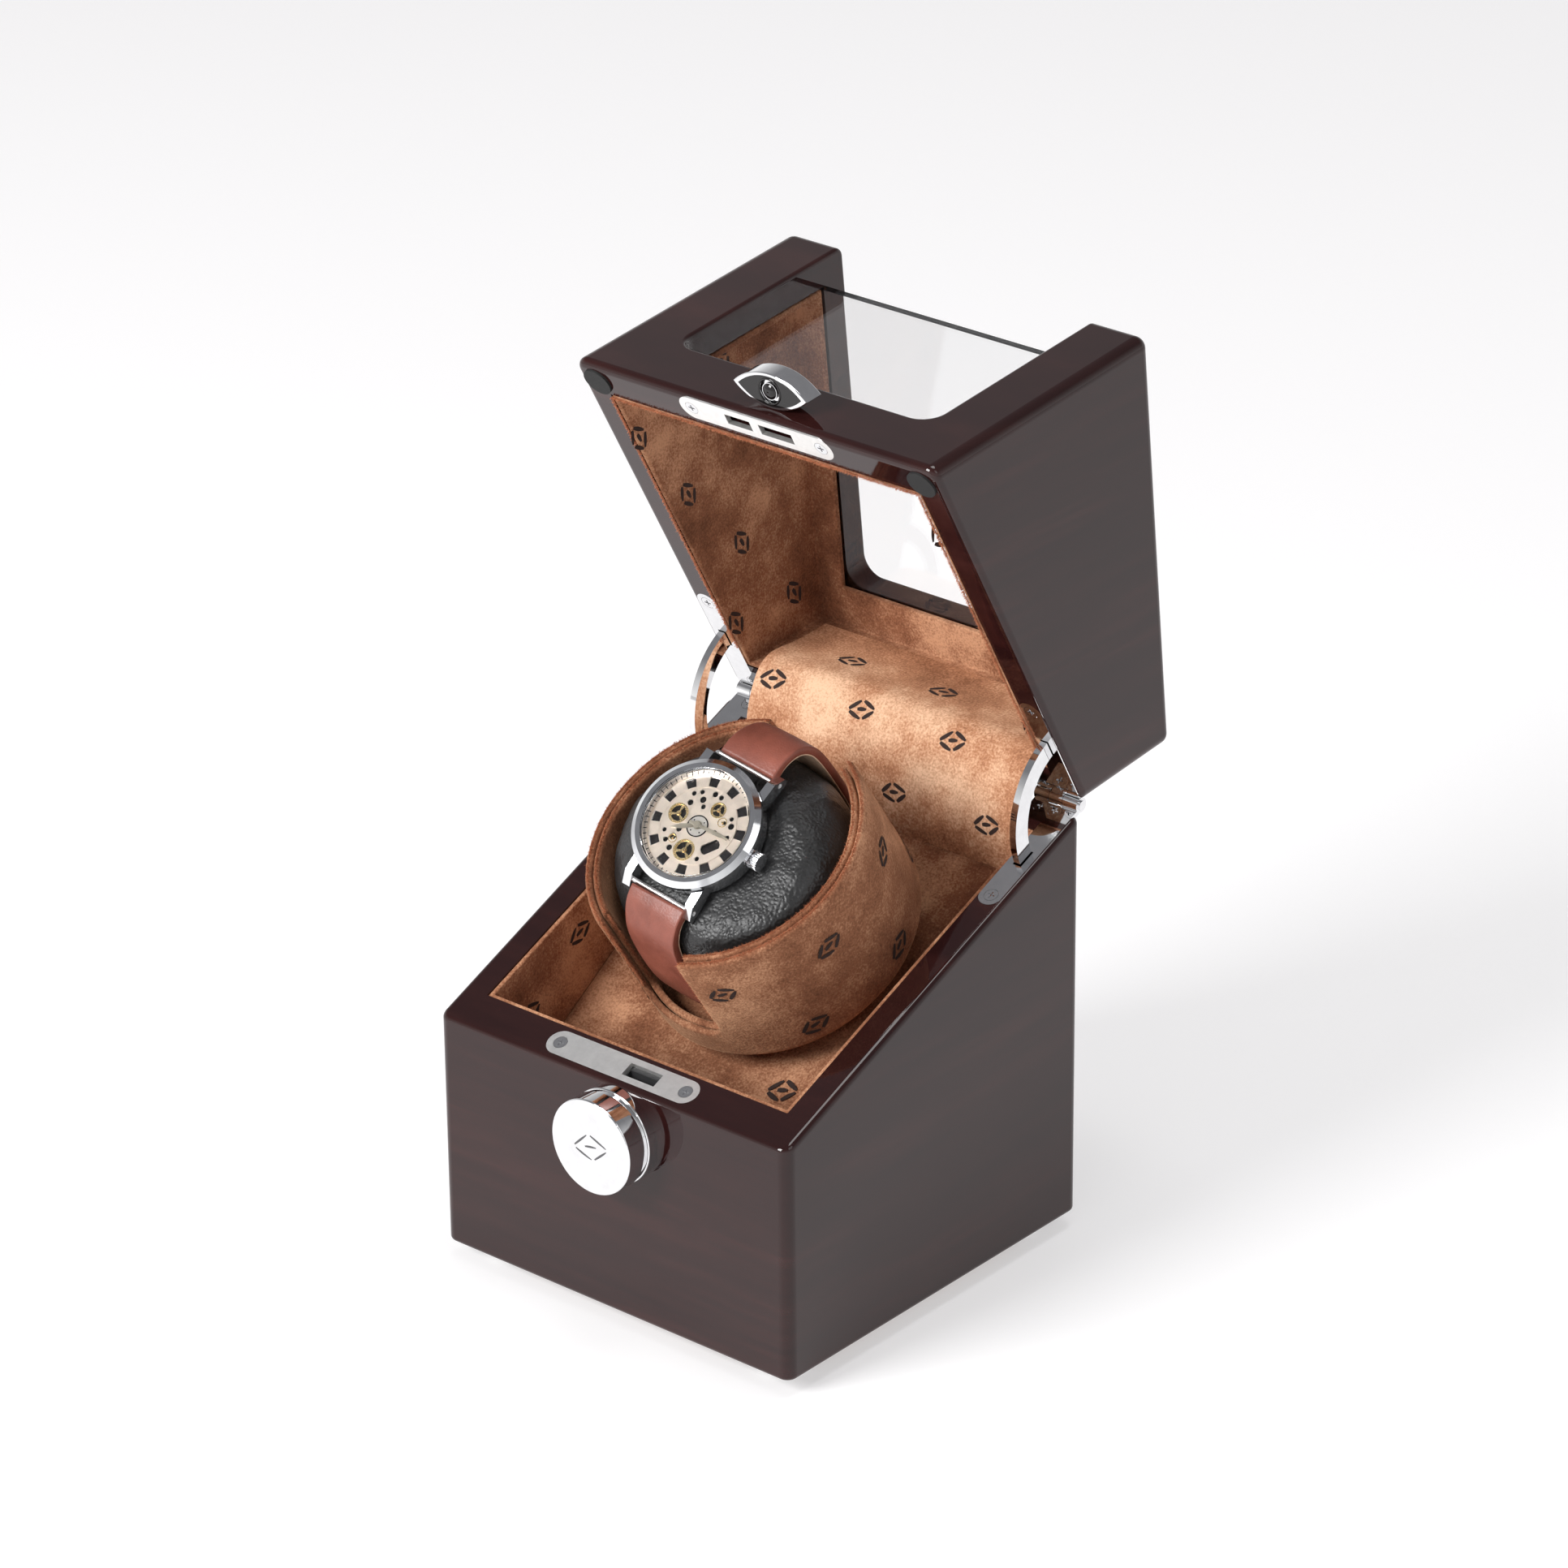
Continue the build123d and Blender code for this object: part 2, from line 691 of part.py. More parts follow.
with BuildPart() as power_jack:
    with BuildSketch(control_plane.offset(-11)):
        with Locations((-jack_x, plate_z)):
            Rectangle(11, 10)
    extrude(amount=11)
    with BuildSketch(control_plane):
        with Locations((-jack_x, plate_z)):
            Circle(jack_hole)
    extrude(amount=plate_thickness + 1.2)
    with BuildSketch(control_plane.offset(plate_thickness + 1.2)):
        with Locations((-jack_x, plate_z)):
            Circle(jack_hole - 1.2)
    extrude(amount=-10, mode=Mode.SUBTRACT)
    with BuildSketch(control_plane.offset(-9)):
        with Locations((-jack_x, plate_z)):
            Circle(1.0)
    extrude(amount=8.5)
save(power_jack.part, "power_jack")

with BuildPart() as mode_switch:
    with BuildSketch(control_plane.offset(-9)):
        with Locations((-knob_x, plate_z)):
            RectangleRounded(14, 14, 1.5)
    extrude(amount=9)
    with BuildSketch(control_plane.offset(-5)):
        with Locations((-knob_x, plate_z)):
            Circle(knob_stem_radius + running_clearance)
    extrude(amount=5, mode=Mode.SUBTRACT)
save(mode_switch.part, "mode_switch")

with BuildPart() as mode_knob:
    with BuildSketch(rear_plane.offset(0.5)):
        with Locations((-knob_x, plate_z)):
            Circle(knob_radius)
    extrude(amount=knob_height)
    chamfer(edges().sort_by(Axis.Y)[-1], 0.6)
    with BuildSketch(rear_plane.offset(0.5)):
        with Locations((-knob_x, plate_z)):
            with PolarLocations(knob_radius + 0.5, 18):
                Circle(0.9)
    extrude(amount=knob_height, mode=Mode.SUBTRACT)
    with BuildSketch(rear_plane.offset(0.5 + knob_height)):
        with Locations((-knob_x, plate_z + knob_radius / 2)):
            Rectangle(0.9, knob_radius - 1.6)
    extrude(amount=-0.4, mode=Mode.SUBTRACT)
    with BuildSketch(rear_plane.offset(0.5)):
        with Locations((-knob_x, plate_z)):
            Circle(knob_stem_radius)
    extrude(amount=-plate_thickness - 5.3)
save(mode_knob.part, "mode_knob")

# ---------------------------------------------------------------- drive train
drive_plane = bay_plane.offset(-gear_drop)
motor_spot = drive_plane.from_local_coords(Vector(0, -gear_centres, 0))
motor_plane = Plane(origin=motor_spot, x_dir=(1, 0, 0), z_dir=drum_dir)
bridge_plane = bay_plane.offset(-bridge_drop)
bridge_motor = bridge_plane.from_local_coords(Vector(0, -gear_centres, 0))
bridge_motor_plane = Plane(origin=bridge_motor, x_dir=(1, 0, 0), z_dir=drum_dir)
post_spots = [(x, y) for x in (-25, 25) for y in (-gear_centres - 13, 13)]
post_planes = [
    Plane(origin=panel_plane.from_local_coords(Vector(x, y, -panel_thickness)), z_dir=drum_dir)
    for x, y in post_spots
]

with BuildPart() as motor_bridge:
    with BuildSketch(bridge_plane):
        with Locations((0, -gear_centres / 2)):
            RectangleRounded(60, gear_centres + 36, 6)
        Circle(bush_radius - 1.2, mode=Mode.SUBTRACT)
        with Locations((0, -gear_centres)):
            Circle(motor_shaft_radius + 1.0, mode=Mode.SUBTRACT)
        with Locations(*post_spots):
            Circle(screw_shank_radius, mode=Mode.SUBTRACT)
    extrude(amount=-bridge_thickness)
save(motor_bridge.part, "motor_bridge")

with BuildPart() as bridge_posts:
    for place in post_planes:
        with BuildSketch(place):
            Circle(post_radius)
        extrude(amount=-(bridge_drop - panel_drop - panel_thickness))
        with BuildSketch(place):
            Circle(screw_shank_radius)
        extrude(amount=-(bridge_drop - panel_drop - panel_thickness) - bridge_thickness - 1.5)
save(bridge_posts.part, "bridge_posts")

with BuildPart() as shaft_bushes:
    with BuildSketch(panel_plane):
        Circle(bush_radius)
    extrude(amount=-panel_thickness)
    with BuildSketch(panel_plane.offset(-panel_thickness)):
        Circle(bush_radius + 2)
    extrude(amount=-1.2)
    with BuildSketch(bridge_plane.offset(1.0)):
        Circle(bush_radius)
    extrude(amount=-1.0)
    with BuildSketch(bridge_plane):
        Circle(bush_radius - 1.2)
    extrude(amount=-bridge_thickness)
    with BuildSketch(panel_plane):
        Circle(shaft_radius + running_clearance)
    extrude(amount=-30, mode=Mode.SUBTRACT)
save(shaft_bushes.part, "shaft_bushes")

with BuildPart() as drum_shaft:
    with BuildSketch(bay_plane.offset(-drum_length + drum_floor - 0.5)):
        Circle(shaft_radius)
    extrude(amount=-(bridge_drop + bridge_thickness + 2.5 - drum_length + drum_floor - 0.5))
save(drum_shaft.part, "drum_shaft")

with BuildPart() as shaft_clip:
    with BuildSketch(bridge_plane.offset(-bridge_thickness - 0.3)):
        Circle(shaft_radius + 1.8)
        Circle(shaft_radius, mode=Mode.SUBTRACT)
    extrude(amount=-0.8)
save(shaft_clip.part, "shaft_clip")

save(gear(drive_plane, gear_teeth, shaft_radius, -90.0), "drive_gear")
half_pitch = 180.0 / pinion_teeth
save(gear(motor_plane, pinion_teeth, motor_shaft_radius, 90.0 + half_pitch), "motor_pinion")

with BuildPart() as motor_shaft:
    with BuildSketch(motor_plane.offset(0.6)):
        Circle(motor_shaft_radius)
    extrude(amount=-(bridge_drop - gear_drop + bridge_thickness + 3.0))
save(motor_shaft.part, "motor_shaft")

with BuildPart() as gearmotor:
    with BuildSketch(bridge_motor_plane.offset(-bridge_thickness)):
        Circle(motor_radius)
    extrude(amount=-motor_length)
    fillet(edges().filter_by(GeomType.CIRCLE), 1.0)
    with BuildSketch(bridge_motor_plane.offset(-bridge_thickness - motor_length)):
        with Locations((-5, 0), (5, 0)):
            Rectangle(2.4, 0.8)
    extrude(amount=-4)
    with BuildSketch(bridge_motor_plane.offset(-bridge_thickness)):
        Circle(motor_shaft_radius + running_clearance)
    extrude(amount=-4, mode=Mode.SUBTRACT)
save(gearmotor.part, "gearmotor")

board_z = bottom_thickness + 6.0
with BuildPart() as circuit_board:
    block((-30, 30), (inner_front + 14, inner_front + 44), (board_z, board_z + 1.6))
    with Locations(*[(x, inner_front + y, board_z / 2 + bottom_thickness / 2)
                     for x in (-26, 26) for y in (18, 40)]):
        Cylinder(2.0, board_z - bottom_thickness)
    block((-20, -8), (inner_front + 24, inner_front + 34), (board_z + 1.6, board_z + 3.2))
    block((6, 16), (inner_front + 18, inner_front + 24), (board_z + 1.6, board_z + 7.0))
    with Locations((0, inner_front + 36, board_z + 5.6), (22, inner_front + 34, board_z + 5.6)):
        Cylinder(3.0, 8.0)
save(circuit_board.part, "circuit_board")

# ---------------------------------------------------------------- drum
with BuildPart() as notch_cut:
    with BuildSketch(across_plane):
        RectangleRounded(notch_width, 2 * notch_depth, notch_radius)
    extrude(amount=drum_radius + 5, both=True)

with BuildPart() as drum_cup:
    with BuildSketch(drum_plane.offset(-drum_length)):
        Circle(drum_radius)
    extrude(amount=drum_length)
    fillet(edges().sort_by(drum_axis)[0], 2.5)
    with BuildSketch(drum_plane.offset(-drum_length + drum_floor)):
        Circle(drum_radius - drum_skin)
    extrude(amount=drum_length, mode=Mode.SUBTRACT)
    with BuildSketch(drum_plane.offset(-drum_length)):
        Circle(hub_radius)
    extrude(amount=-(panel_drop - drum_length - 0.5))
    with BuildSketch(drum_plane.offset(-drum_length + drum_floor - 0.5)):
        Circle(shaft_radius + seat_gap)
    extrude(amount=-12, mode=Mode.SUBTRACT)
    add(notch_cut.part, mode=Mode.SUBTRACT)
    fillet(edges().group_by(drum_axis)[-1].filter_by(GeomType.CIRCLE), 0.8)
save(drum_cup.part, "drum_cup")

with BuildPart() as drum_sleeve:
    with BuildSketch(drum_plane.offset(-drum_length + drum_floor)):
        Circle(sleeve_outer)
        Circle(sleeve_inner, mode=Mode.SUBTRACT)
    extrude(amount=drum_length - drum_floor)
    add(notch_cut.part, mode=Mode.SUBTRACT)
    fillet(edges().group_by(drum_axis)[-1].filter_by(GeomType.CIRCLE), 0.8)
save(drum_sleeve.part, "drum_sleeve")

# ---------------------------------------------------------------- watch
case_seat = watch_plane.offset(-case_height)
lug_planes = [
    Plane(
        origin=watch_plane.from_local_coords(Vector(x, 0, 0)),
        x_dir=watch_plane.y_dir,
        z_dir=watch_plane.x_dir,
    )
    for x in (-strap_width / 2 - 0.2 - lug_width, strap_width / 2 + 0.2)
]
dial_top = -dial_depth + dial_thickness

with BuildPart() as watch_case:
    with BuildSketch(case_seat):
        Circle(case_radius - 1.6)
    extrude(amount=1.2)
    with BuildSketch(case_seat.offset(1.2)):
        Circle(case_radius)
    extrude(amount=case_height - bezel_height - 1.2)
    fillet(edges().filter_by(GeomType.CIRCLE).group_by(watch_axis)[-1], 0.5)
    for plane in lug_planes:
        with BuildSketch(plane):
            with BuildLine():
                Polyline(
                    (case_radius - 6, -bezel_height - 0.6),
                    (lug_reach - 3.4, -bezel_height - 1.4),
                    (lug_reach, -bezel_height - 4.2),
                    (lug_reach, -case_height + 0.6),
                    (lug_reach - 3.0, -case_height + 0.6),
                    (case_radius - 6, -case_height + 2.0),
                    close=True,
                )
            make_face()
            mirror(about=Plane.YZ)
        extrude(amount=lug_width)
    with BuildSketch(watch_plane.offset(-dial_depth)):
        Circle(dial_radius)
    extrude(amount=dial_depth, mode=Mode.SUBTRACT)
    with BuildSketch(watch_plane.offset(-dial_depth)):
        Circle(dial_radius - 2.0)
    extrude(amount=-(case_height - dial_depth - 1.4), mode=Mode.SUBTRACT)
    with BuildSketch(crown_plane):
        Circle(0.8)
    extrude(amount=case_radius + 2, mode=Mode.SUBTRACT)
    for plane in lug_planes:
        with BuildSketch(plane):
            with Locations((lug_bar_reach, -lug_bar_depth), (-lug_bar_reach, -lug_bar_depth)):
                Circle(lug_bar_radius)
        extrude(amount=lug_width, mode=Mode.SUBTRACT)
save(watch_case.part, "watch_case")

with BuildPart() as spring_bars:
    with BuildSketch(lug_planes[0].offset(0.4)):
        with Locations((lug_bar_reach, -lug_bar_depth), (-lug_bar_reach, -lug_bar_depth)):
            Circle(lug_bar_radius)
    extrude(amount=strap_width + 2 * lug_width - 0.4)
save(spring_bars.part, "spring_bars")

with BuildPart() as watch_bezel:
    with BuildSketch(watch_plane.offset(-bezel_height)):
        Circle(bezel_radius)
    extrude(amount=bezel_height)
    chamfer(edges().filter_by(GeomType.CIRCLE).group_by(watch_axis)[-1], 1.2, 1.6)
    with BuildSketch(watch_plane):
        Circle(dial_radius)
    extrude(amount=-bezel_height, mode=Mode.SUBTRACT)
save(watch_bezel.part, "watch_bezel")

with BuildPart() as watch_crystal:
    with BuildSketch(watch_plane.offset(-1.2)):
        Circle(dial_radius)
    extrude(amount=crystal_height)
    fillet(edges().filter_by(GeomType.CIRCLE).group_by(watch_axis)[-1], 0.4)
save(watch_crystal.part, "watch_crystal")

with BuildPart() as watch_dial:
    with BuildSketch(watch_plane.offset(-dial_depth)):
        Circle(dial_radius - 0.05)
        Circle(0.55, mode=Mode.SUBTRACT)
        with PolarLocations(dial_radius - 2.9, 12):
            Rectangle(2.4, 2.6, mode=Mode.SUBTRACT)
        with Locations((-6.0, 3.0), (6.0, 3.8), (0.6, -7.0)):
            Circle(2.9, mode=Mode.SUBTRACT)
            Circle(1.1)
            with PolarLocations(1.9, 3):
                Rectangle(2.4, 0.6)
    extrude(amount=dial_thickness)
save(watch_dial.part, "watch_dial")

with BuildPart() as watch_movement:
    with BuildSketch(watch_plane.offset(-dial_depth - 0.7)):
        Circle(dial_radius - 2.1)
    extrude(amount=-(case_height - dial_depth - 2.3))
    with BuildSketch(crown_plane):
        Circle(1.0)
    extrude(amount=case_radius, mode=Mode.SUBTRACT)
save(watch_movement.part, "watch_movement")

with BuildPart() as hour_hand:
    with BuildSketch(watch_plane.offset(dial_top + 0.25)):
        Circle(1.3)
        Polygon((-0.5, 0), (-0.75, 5.4), (0, 8.2), (0.75, 5.4), (0.5, 0), align=None, rotation=120)
        Circle(0.6, mode=Mode.SUBTRACT)
    extrude(amount=0.25)
save(hour_hand.part, "hour_hand")

with BuildPart() as minute_hand:
    with BuildSketch(watch_plane.offset(dial_top + 0.75)):
        Circle(1.1)
        Polygon((-0.4, -2.6), (-0.6, 8.4), (0, 12.2), (0.6, 8.4), (0.4, -2.6), align=None, rotation=-87)
    extrude(amount=0.25)
    with BuildSketch(watch_plane.offset(-dial_depth - 0.4)):
        Circle(0.5)
    extrude(amount=dial_thickness + 1.3)
save(minute_hand.part, "minute_hand")

with BuildPart() as watch_crown:
    with BuildSketch(crown_plane.offset(case_radius + 0.3)):
        Circle(crown_radius)
        with PolarLocations(crown_radius + 0.1, 24):
            Circle(0.24, mode=Mode.SUBTRACT)
    extrude(amount=crown_length)
    with BuildSketch(crown_plane.offset(dial_radius - 1.4)):
        Circle(0.75)
    extrude(amount=case_radius - dial_radius + 2.0)
save(watch_crown.part, "watch_crown")

# ---------------------------------------------------------------- strap and cushion
tip = radians(watch_tip)


def bar_spot(sign):
    """Where a spring bar lies in the strap's own plane."""
    along = sign * lug_bar_reach
    return (
        watch_shift + along * cos(tip) + lug_bar_depth * sin(tip),
        watch_rise + along * sin(tip) - lug_bar_depth * cos(tip),
    )


strap_side = cushion_end + strap_thickness / 2 + soft_clearance + 0.4
strap_floor = cushion_bottom - strap_thickness / 2 - buckle_wall - soft_clearance
bar_up = bar_spot(1)
bar_low = bar_spot(-1)
strap_routes = {
    "upper": [
        (bar_up[0] + 2.1, bar_up[1] + 0.2),
        (bar_up[0] + 10.0, bar_up[1] + 0.2),
        (strap_side, 1.0),
        (strap_side, strap_floor + 8.0),
        (strap_side - 8.0, strap_floor),
        (1.0, strap_floor),
    ],
    "lower": [
        (bar_low[0] - 2.1, bar_low[1] - 0.3),
        (-strap_side, -6.0),
        (-strap_side, strap_floor + 8.0),
        (-strap_side + 8.0, strap_floor),
        (-1.0, strap_floor),
    ],
}


def strap_part(route, thickness, width):
    """A band of leather that follows a rounded route in the strap's plane."""
    with BuildPart(mode=Mode.PRIVATE) as band:
        with BuildSketch(strap_plane):
            with BuildLine():
                FilletPolyline(*route, radius=3.5)
            trace(line_width=thickness)
        extrude(amount=width / 2, both=True)
    return band.part


with BuildPart() as watch_strap:
    for route in strap_routes.values():
        add(strap_part(route, strap_thickness, strap_width))
save(watch_strap.part, "watch_strap")

with BuildPart() as strap_buckle:
    with BuildSketch(strap_plane):
        with Locations((0, strap_floor)):
            Rectangle(10.0, strap_thickness + 2 * buckle_wall)
    extrude(amount=strap_width / 2 + 1.8, both=True)
    with BuildSketch(strap_plane):
        with Locations((0, strap_floor)):
            Rectangle(12.0, strap_thickness)
    extrude(amount=strap_width / 2, both=True, mode=Mode.SUBTRACT)
save(strap_buckle.part, "strap_buckle")

strap_room = strap_thickness + 2 * soft_clearance
with BuildPart() as cushion:
    with BuildSketch(drum_plane.offset(cushion_bottom)):
        Ellipse(cushion_side, cushion_end)
    extrude(amount=cushion_top - cushion_bottom)
    fillet(edges().sort_by(drum_axis)[-1], cushion_round)
    fillet(edges().sort_by(drum_axis)[0], cushion_foot_round)
    add(strap_part(strap_routes["upper"], strap_room, strap_width + 1), mode=Mode.SUBTRACT)
    add(strap_part(strap_routes["lower"], strap_room, strap_width + 1), mode=Mode.SUBTRACT)
    split(bisect_by=case_seat.offset(-soft_clearance), keep=Keep.BOTTOM)
save(cushion.part, "cushion")

# ---------------------------------------------------------------- lid
window_x = half_width - window_side
window_y = half_depth - window_rear
with BuildPart() as lid_shell:
    with BuildSketch(Plane.YZ):
        with BuildLine():
            rim_front = front_height + rim_gap / cos(slope)
            rim_rear = rear_height + rim_gap / cos(slope)
            Polyline(
                (-half_depth, rim_front),
                (half_depth, rim_rear),
                (half_depth, closed_height),
                (-half_depth, closed_height),
                close=True,
            )
        make_face()
    extrude(amount=half_width, both=True)
    fillet(edges().filter_by(Axis.Z), corner_radius)
    fillet(faces().sort_by(Axis.Z)[-1].edges(), lid_edge_radius)
    fillet(faces().sort_by(Axis.Z)[0].edges(), rim_radius)
    strip_top = window_sill - pane_overlap - 0.2
    block((-inner_x, inner_x), (inner_front, inner_rear), (0, lid_top_face), Mode.SUBTRACT)
    block((-inner_x, inner_x), (lid_front_face, inner_rear), (strip_top, lid_top_face), Mode.SUBTRACT)
    # The window runs from the front panel over the top edge into the top panel.
    with BuildSketch(front_plane):
        with Locations((0, window_sill + tall / 2)):
            RectangleRounded(2 * window_x, tall, window_radius)
    extrude(amount=-lid_panel - 0.5, mode=Mode.SUBTRACT)
    with BuildSketch(Plane.XY.offset(closed_height)):
        with Locations((0, window_y - tall / 2)):
            RectangleRounded(2 * window_x, tall, window_radius)
    extrude(amount=-lid_panel - 0.5, mode=Mode.SUBTRACT)
    outer_rim = [
        edge
        for edge in edges()
        if abs(edge.center().X) < window_x + 0.1
        and (
            (edge.center().Y < -half_depth + 1.0 and edge.center().Z > window_sill - 0.1)
            or (edge.center().Z > closed_height - 1.0 and edge.center().Y < window_y + 0.1)
        )
    ]
    fillet(outer_rim, window_edge)
    # Recesses for the leaves, their barrels and the arms.
    for side in (1, -1):
        add(leaf_plate(lid_rim_plane, side, plate_thickness), mode=Mode.SUBTRACT)
        relief = sided((barrel_low - 1.0, barrel_high + 0.4), side)
        add(knuckle(*relief, knuckle_relief), mode=Mode.SUBTRACT)
        with BuildSketch(at_rim(lid_rim_plane, side * (half_width - bumper_inset_x), bumper_line)):
            Circle(bumper_radius)
        extrude(amount=1.0, mode=Mode.SUBTRACT)
    for room in lid_arm_rooms:
        add(room, mode=Mode.SUBTRACT)
    add(screw_holes(lid_leaf_places + lid_lock_places), mode=Mode.SUBTRACT)
    # Recess for the keeper plate, with room for the latch behind it.
    with BuildSketch(at_rim(lid_rim_plane, 0, lock_line)):
        SlotOverall(lock_plate_length, lock_plate_width)
    extrude(amount=plate_thickness, mode=Mode.SUBTRACT)
    with BuildSketch(at_rim(lid_rim_plane, 0, lock_line)):
        Rectangle(30, keeper_slot_width + 1)
    extrude(amount=plate_thickness + 4, mode=Mode.SUBTRACT)
    # Hole for the stud of the pull.
    with BuildSketch(front_plane):
        with Locations((pull_x, pull_z + pull_height / 2)):
            Circle(1.5)
    extrude(amount=-front_wall, mode=Mode.SUBTRACT)
save(opened(lid_shell.part), "lid_shell")

with BuildPart() as keeper_plate:
    with BuildSketch(at_rim(lid_rim_plane, 0, lock_line)):
        SlotOverall(lock_plate_length, lock_plate_width)
        with Locations((lock_slot_x, 0)):
            Rectangle(lock_slot_length, keeper_slot_width, mode=Mode.SUBTRACT)
        with Locations((keeper_slot_x, 0)):
            Rectangle(keeper_slot_length, keeper_slot_width, mode=Mode.SUBTRACT)
    extrude(amount=plate_thickness)
    add(screw_holes(lid_lock_places), mode=Mode.SUBTRACT)
save(opened(keeper_plate.part), "keeper_plate")
save(opened(screws(lid_leaf_places + lid_lock_places)), "lid_screws")

with BuildPart() as bumpers:
    for side in (1, -1):
        spot = at_rim(lid_rim_plane.offset(-bumper_proud), side * (half_width - bumper_inset_x), bumper_line)
        with BuildSketch(spot):
            Circle(bumper_radius)
        extrude(amount=bumper_proud + 1.0)
save(opened(bumpers.part), "bumpers")

with BuildPart() as front_pane:
    pane_x = window_x + pane_overlap
    block(
        (-pane_x, pane_x),
        (lid_front_face, lid_front_face + pane_thickness),
        (window_sill - pane_overlap, lid_top_face),
    )
save(opened(front_pane.part), "front_pane")

with BuildPart() as top_pane:
    block(
        (-pane_x, pane_x),
        (lid_front_face + pane_thickness, window_y + pane_overlap),
        (lid_top_face - pane_thickness, lid_top_face),
    )
save(opened(top_pane.part), "top_pane")

frame_front = lid_front_face + pane_thickness + window_frame
frame_top = lid_top_face - pane_thickness - window_frame
with BuildPart() as lid_lining:
    block((-inner_x, inner_x), (inner_front, inner_rear), (0, lid_top_face))
    block((-inner_x, inner_x), (lid_front_face, inner_rear), (strip_top, lid_top_face))
    block(
        (-inner_x + lining_thickness, inner_x - lining_thickness),
        (frame_front, inner_rear - lining_thickness),
        (-1, frame_top),
        Mode.SUBTRACT,
    )
    # Rebates that hold the panes, and the openings behind the window.
    block(
        (-pane_x, pane_x),
        (lid_front_face, lid_front_face + pane_thickness),
        (strip_top, lid_top_face),
        Mode.SUBTRACT,
    )
    block(
        (-pane_x, pane_x),
        (lid_front_face, window_y + pane_overlap),
        (lid_top_face - pane_thickness, lid_top_face),
        Mode.SUBTRACT,
    )
    block((-window_x, window_x), (-half_depth, frame_front + 1), (window_sill, frame_top), Mode.SUBTRACT)
    block((-window_x, window_x), (-half_depth, window_y), (frame_top - 1, closed_height), Mode.SUBTRACT)
    split(bisect_by=lid_rim_plane.offset(lining_setback), keep=Keep.TOP)
save(opened(lid_lining.part), "lid_lining")

pull_plane = Plane(origin=(pull_x, -half_depth, pull_z), x_dir=(1, 0, 0), z_dir=(0, 0, 1))
with BuildPart() as lid_pull:
    with BuildSketch(pull_plane):
        with BuildLine():
            tip_left = (-pull_length / 2, -pull_depth / 2)
            tip_right = (pull_length / 2, -pull_depth / 2)
            ThreePointArc(tip_left, (0, -pull_depth), tip_right)
            ThreePointArc(tip_right, (0, 0), tip_left)
        make_face()
    extrude(amount=pull_height)
    fillet(edges().filter_by(GeomType.CIRCLE), 0.4)
    with BuildSketch(pull_plane):
        with Locations((0, -pull_depth / 2)):
            Circle(4.2)
    extrude(amount=0.9, mode=Mode.SUBTRACT)
    with BuildSketch(pull_plane):
        with Locations((0, -pull_depth / 2)):
            Circle(2.6)
    extrude(amount=1.2)
    with BuildSketch(front_plane.offset(1.0)):
        with Locations((pull_x, pull_z + pull_height / 2)):
            Circle(1.5)
    extrude(amount=-front_wall - 1)
save(opened(lid_pull.part), "lid_pull")

# ---------------------------------------------------------------- velvet flap over the hinges
flap_y = inner_rear - lining_thickness - flap_thickness / 2 - soft_clearance
flap_foot = panel_plane.from_local_coords(Vector(0, 0, soft_clearance))
flap_foot_z = flap_foot.Z + (flap_y - flap_thickness / 2 - flap_foot.Y) / tan(tilt) + flap_thickness
lid_lip = lid_rim_plane.from_local_coords(Vector(0, (flap_y + half_depth) / cos(slope), -1.2))
dy = flap_y - hinge_point.Y
dz = lid_lip.Z - hinge_point.Z
lip_y = hinge_point.Y + dy * cos(swing) + dz * sin(swing)
lip_z = hinge_point.Z - dy * sin(swing) + dz * cos(swing)
with BuildPart() as hinge_flap:
    with BuildSketch(Plane.YZ):
        with BuildLine():
            FilletPolyline(
                (flap_y, flap_foot_z),
                (flap_y, rear_height - 3.0),
                (lip_y - 0.5, lip_z - 0.5),
                radius=10,
            )
        trace(line_width=flap_thickness)
    extrude(amount=flap_half_width, both=True)
save(hinge_flap.part, "hinge_flap")
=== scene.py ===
import json
import math
import random

import bmesh
import bpy
from mathutils import Matrix, Vector, noise


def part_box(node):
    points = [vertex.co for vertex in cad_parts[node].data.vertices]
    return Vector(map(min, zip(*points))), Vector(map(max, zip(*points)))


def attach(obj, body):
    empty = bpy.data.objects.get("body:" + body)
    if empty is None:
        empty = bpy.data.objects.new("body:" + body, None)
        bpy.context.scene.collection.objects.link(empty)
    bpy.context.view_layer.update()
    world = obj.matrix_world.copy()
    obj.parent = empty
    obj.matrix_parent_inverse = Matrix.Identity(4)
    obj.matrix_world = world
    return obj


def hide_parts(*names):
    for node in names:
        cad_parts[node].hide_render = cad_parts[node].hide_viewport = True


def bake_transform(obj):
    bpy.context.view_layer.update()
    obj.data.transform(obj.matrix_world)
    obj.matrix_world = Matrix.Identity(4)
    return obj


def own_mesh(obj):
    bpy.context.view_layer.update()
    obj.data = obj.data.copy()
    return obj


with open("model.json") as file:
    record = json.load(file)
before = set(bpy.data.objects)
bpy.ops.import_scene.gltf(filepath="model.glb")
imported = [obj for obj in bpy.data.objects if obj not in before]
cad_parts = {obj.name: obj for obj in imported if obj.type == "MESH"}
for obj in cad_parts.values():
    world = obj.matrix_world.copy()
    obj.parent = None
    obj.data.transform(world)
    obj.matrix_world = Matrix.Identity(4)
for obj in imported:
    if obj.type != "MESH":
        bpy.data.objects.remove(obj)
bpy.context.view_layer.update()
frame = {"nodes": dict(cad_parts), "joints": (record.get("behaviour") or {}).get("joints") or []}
NODES = frame["nodes"]
JOINTS = {j["name"]: j for j in frame["joints"]}
MM = 0.001
random.seed(7)

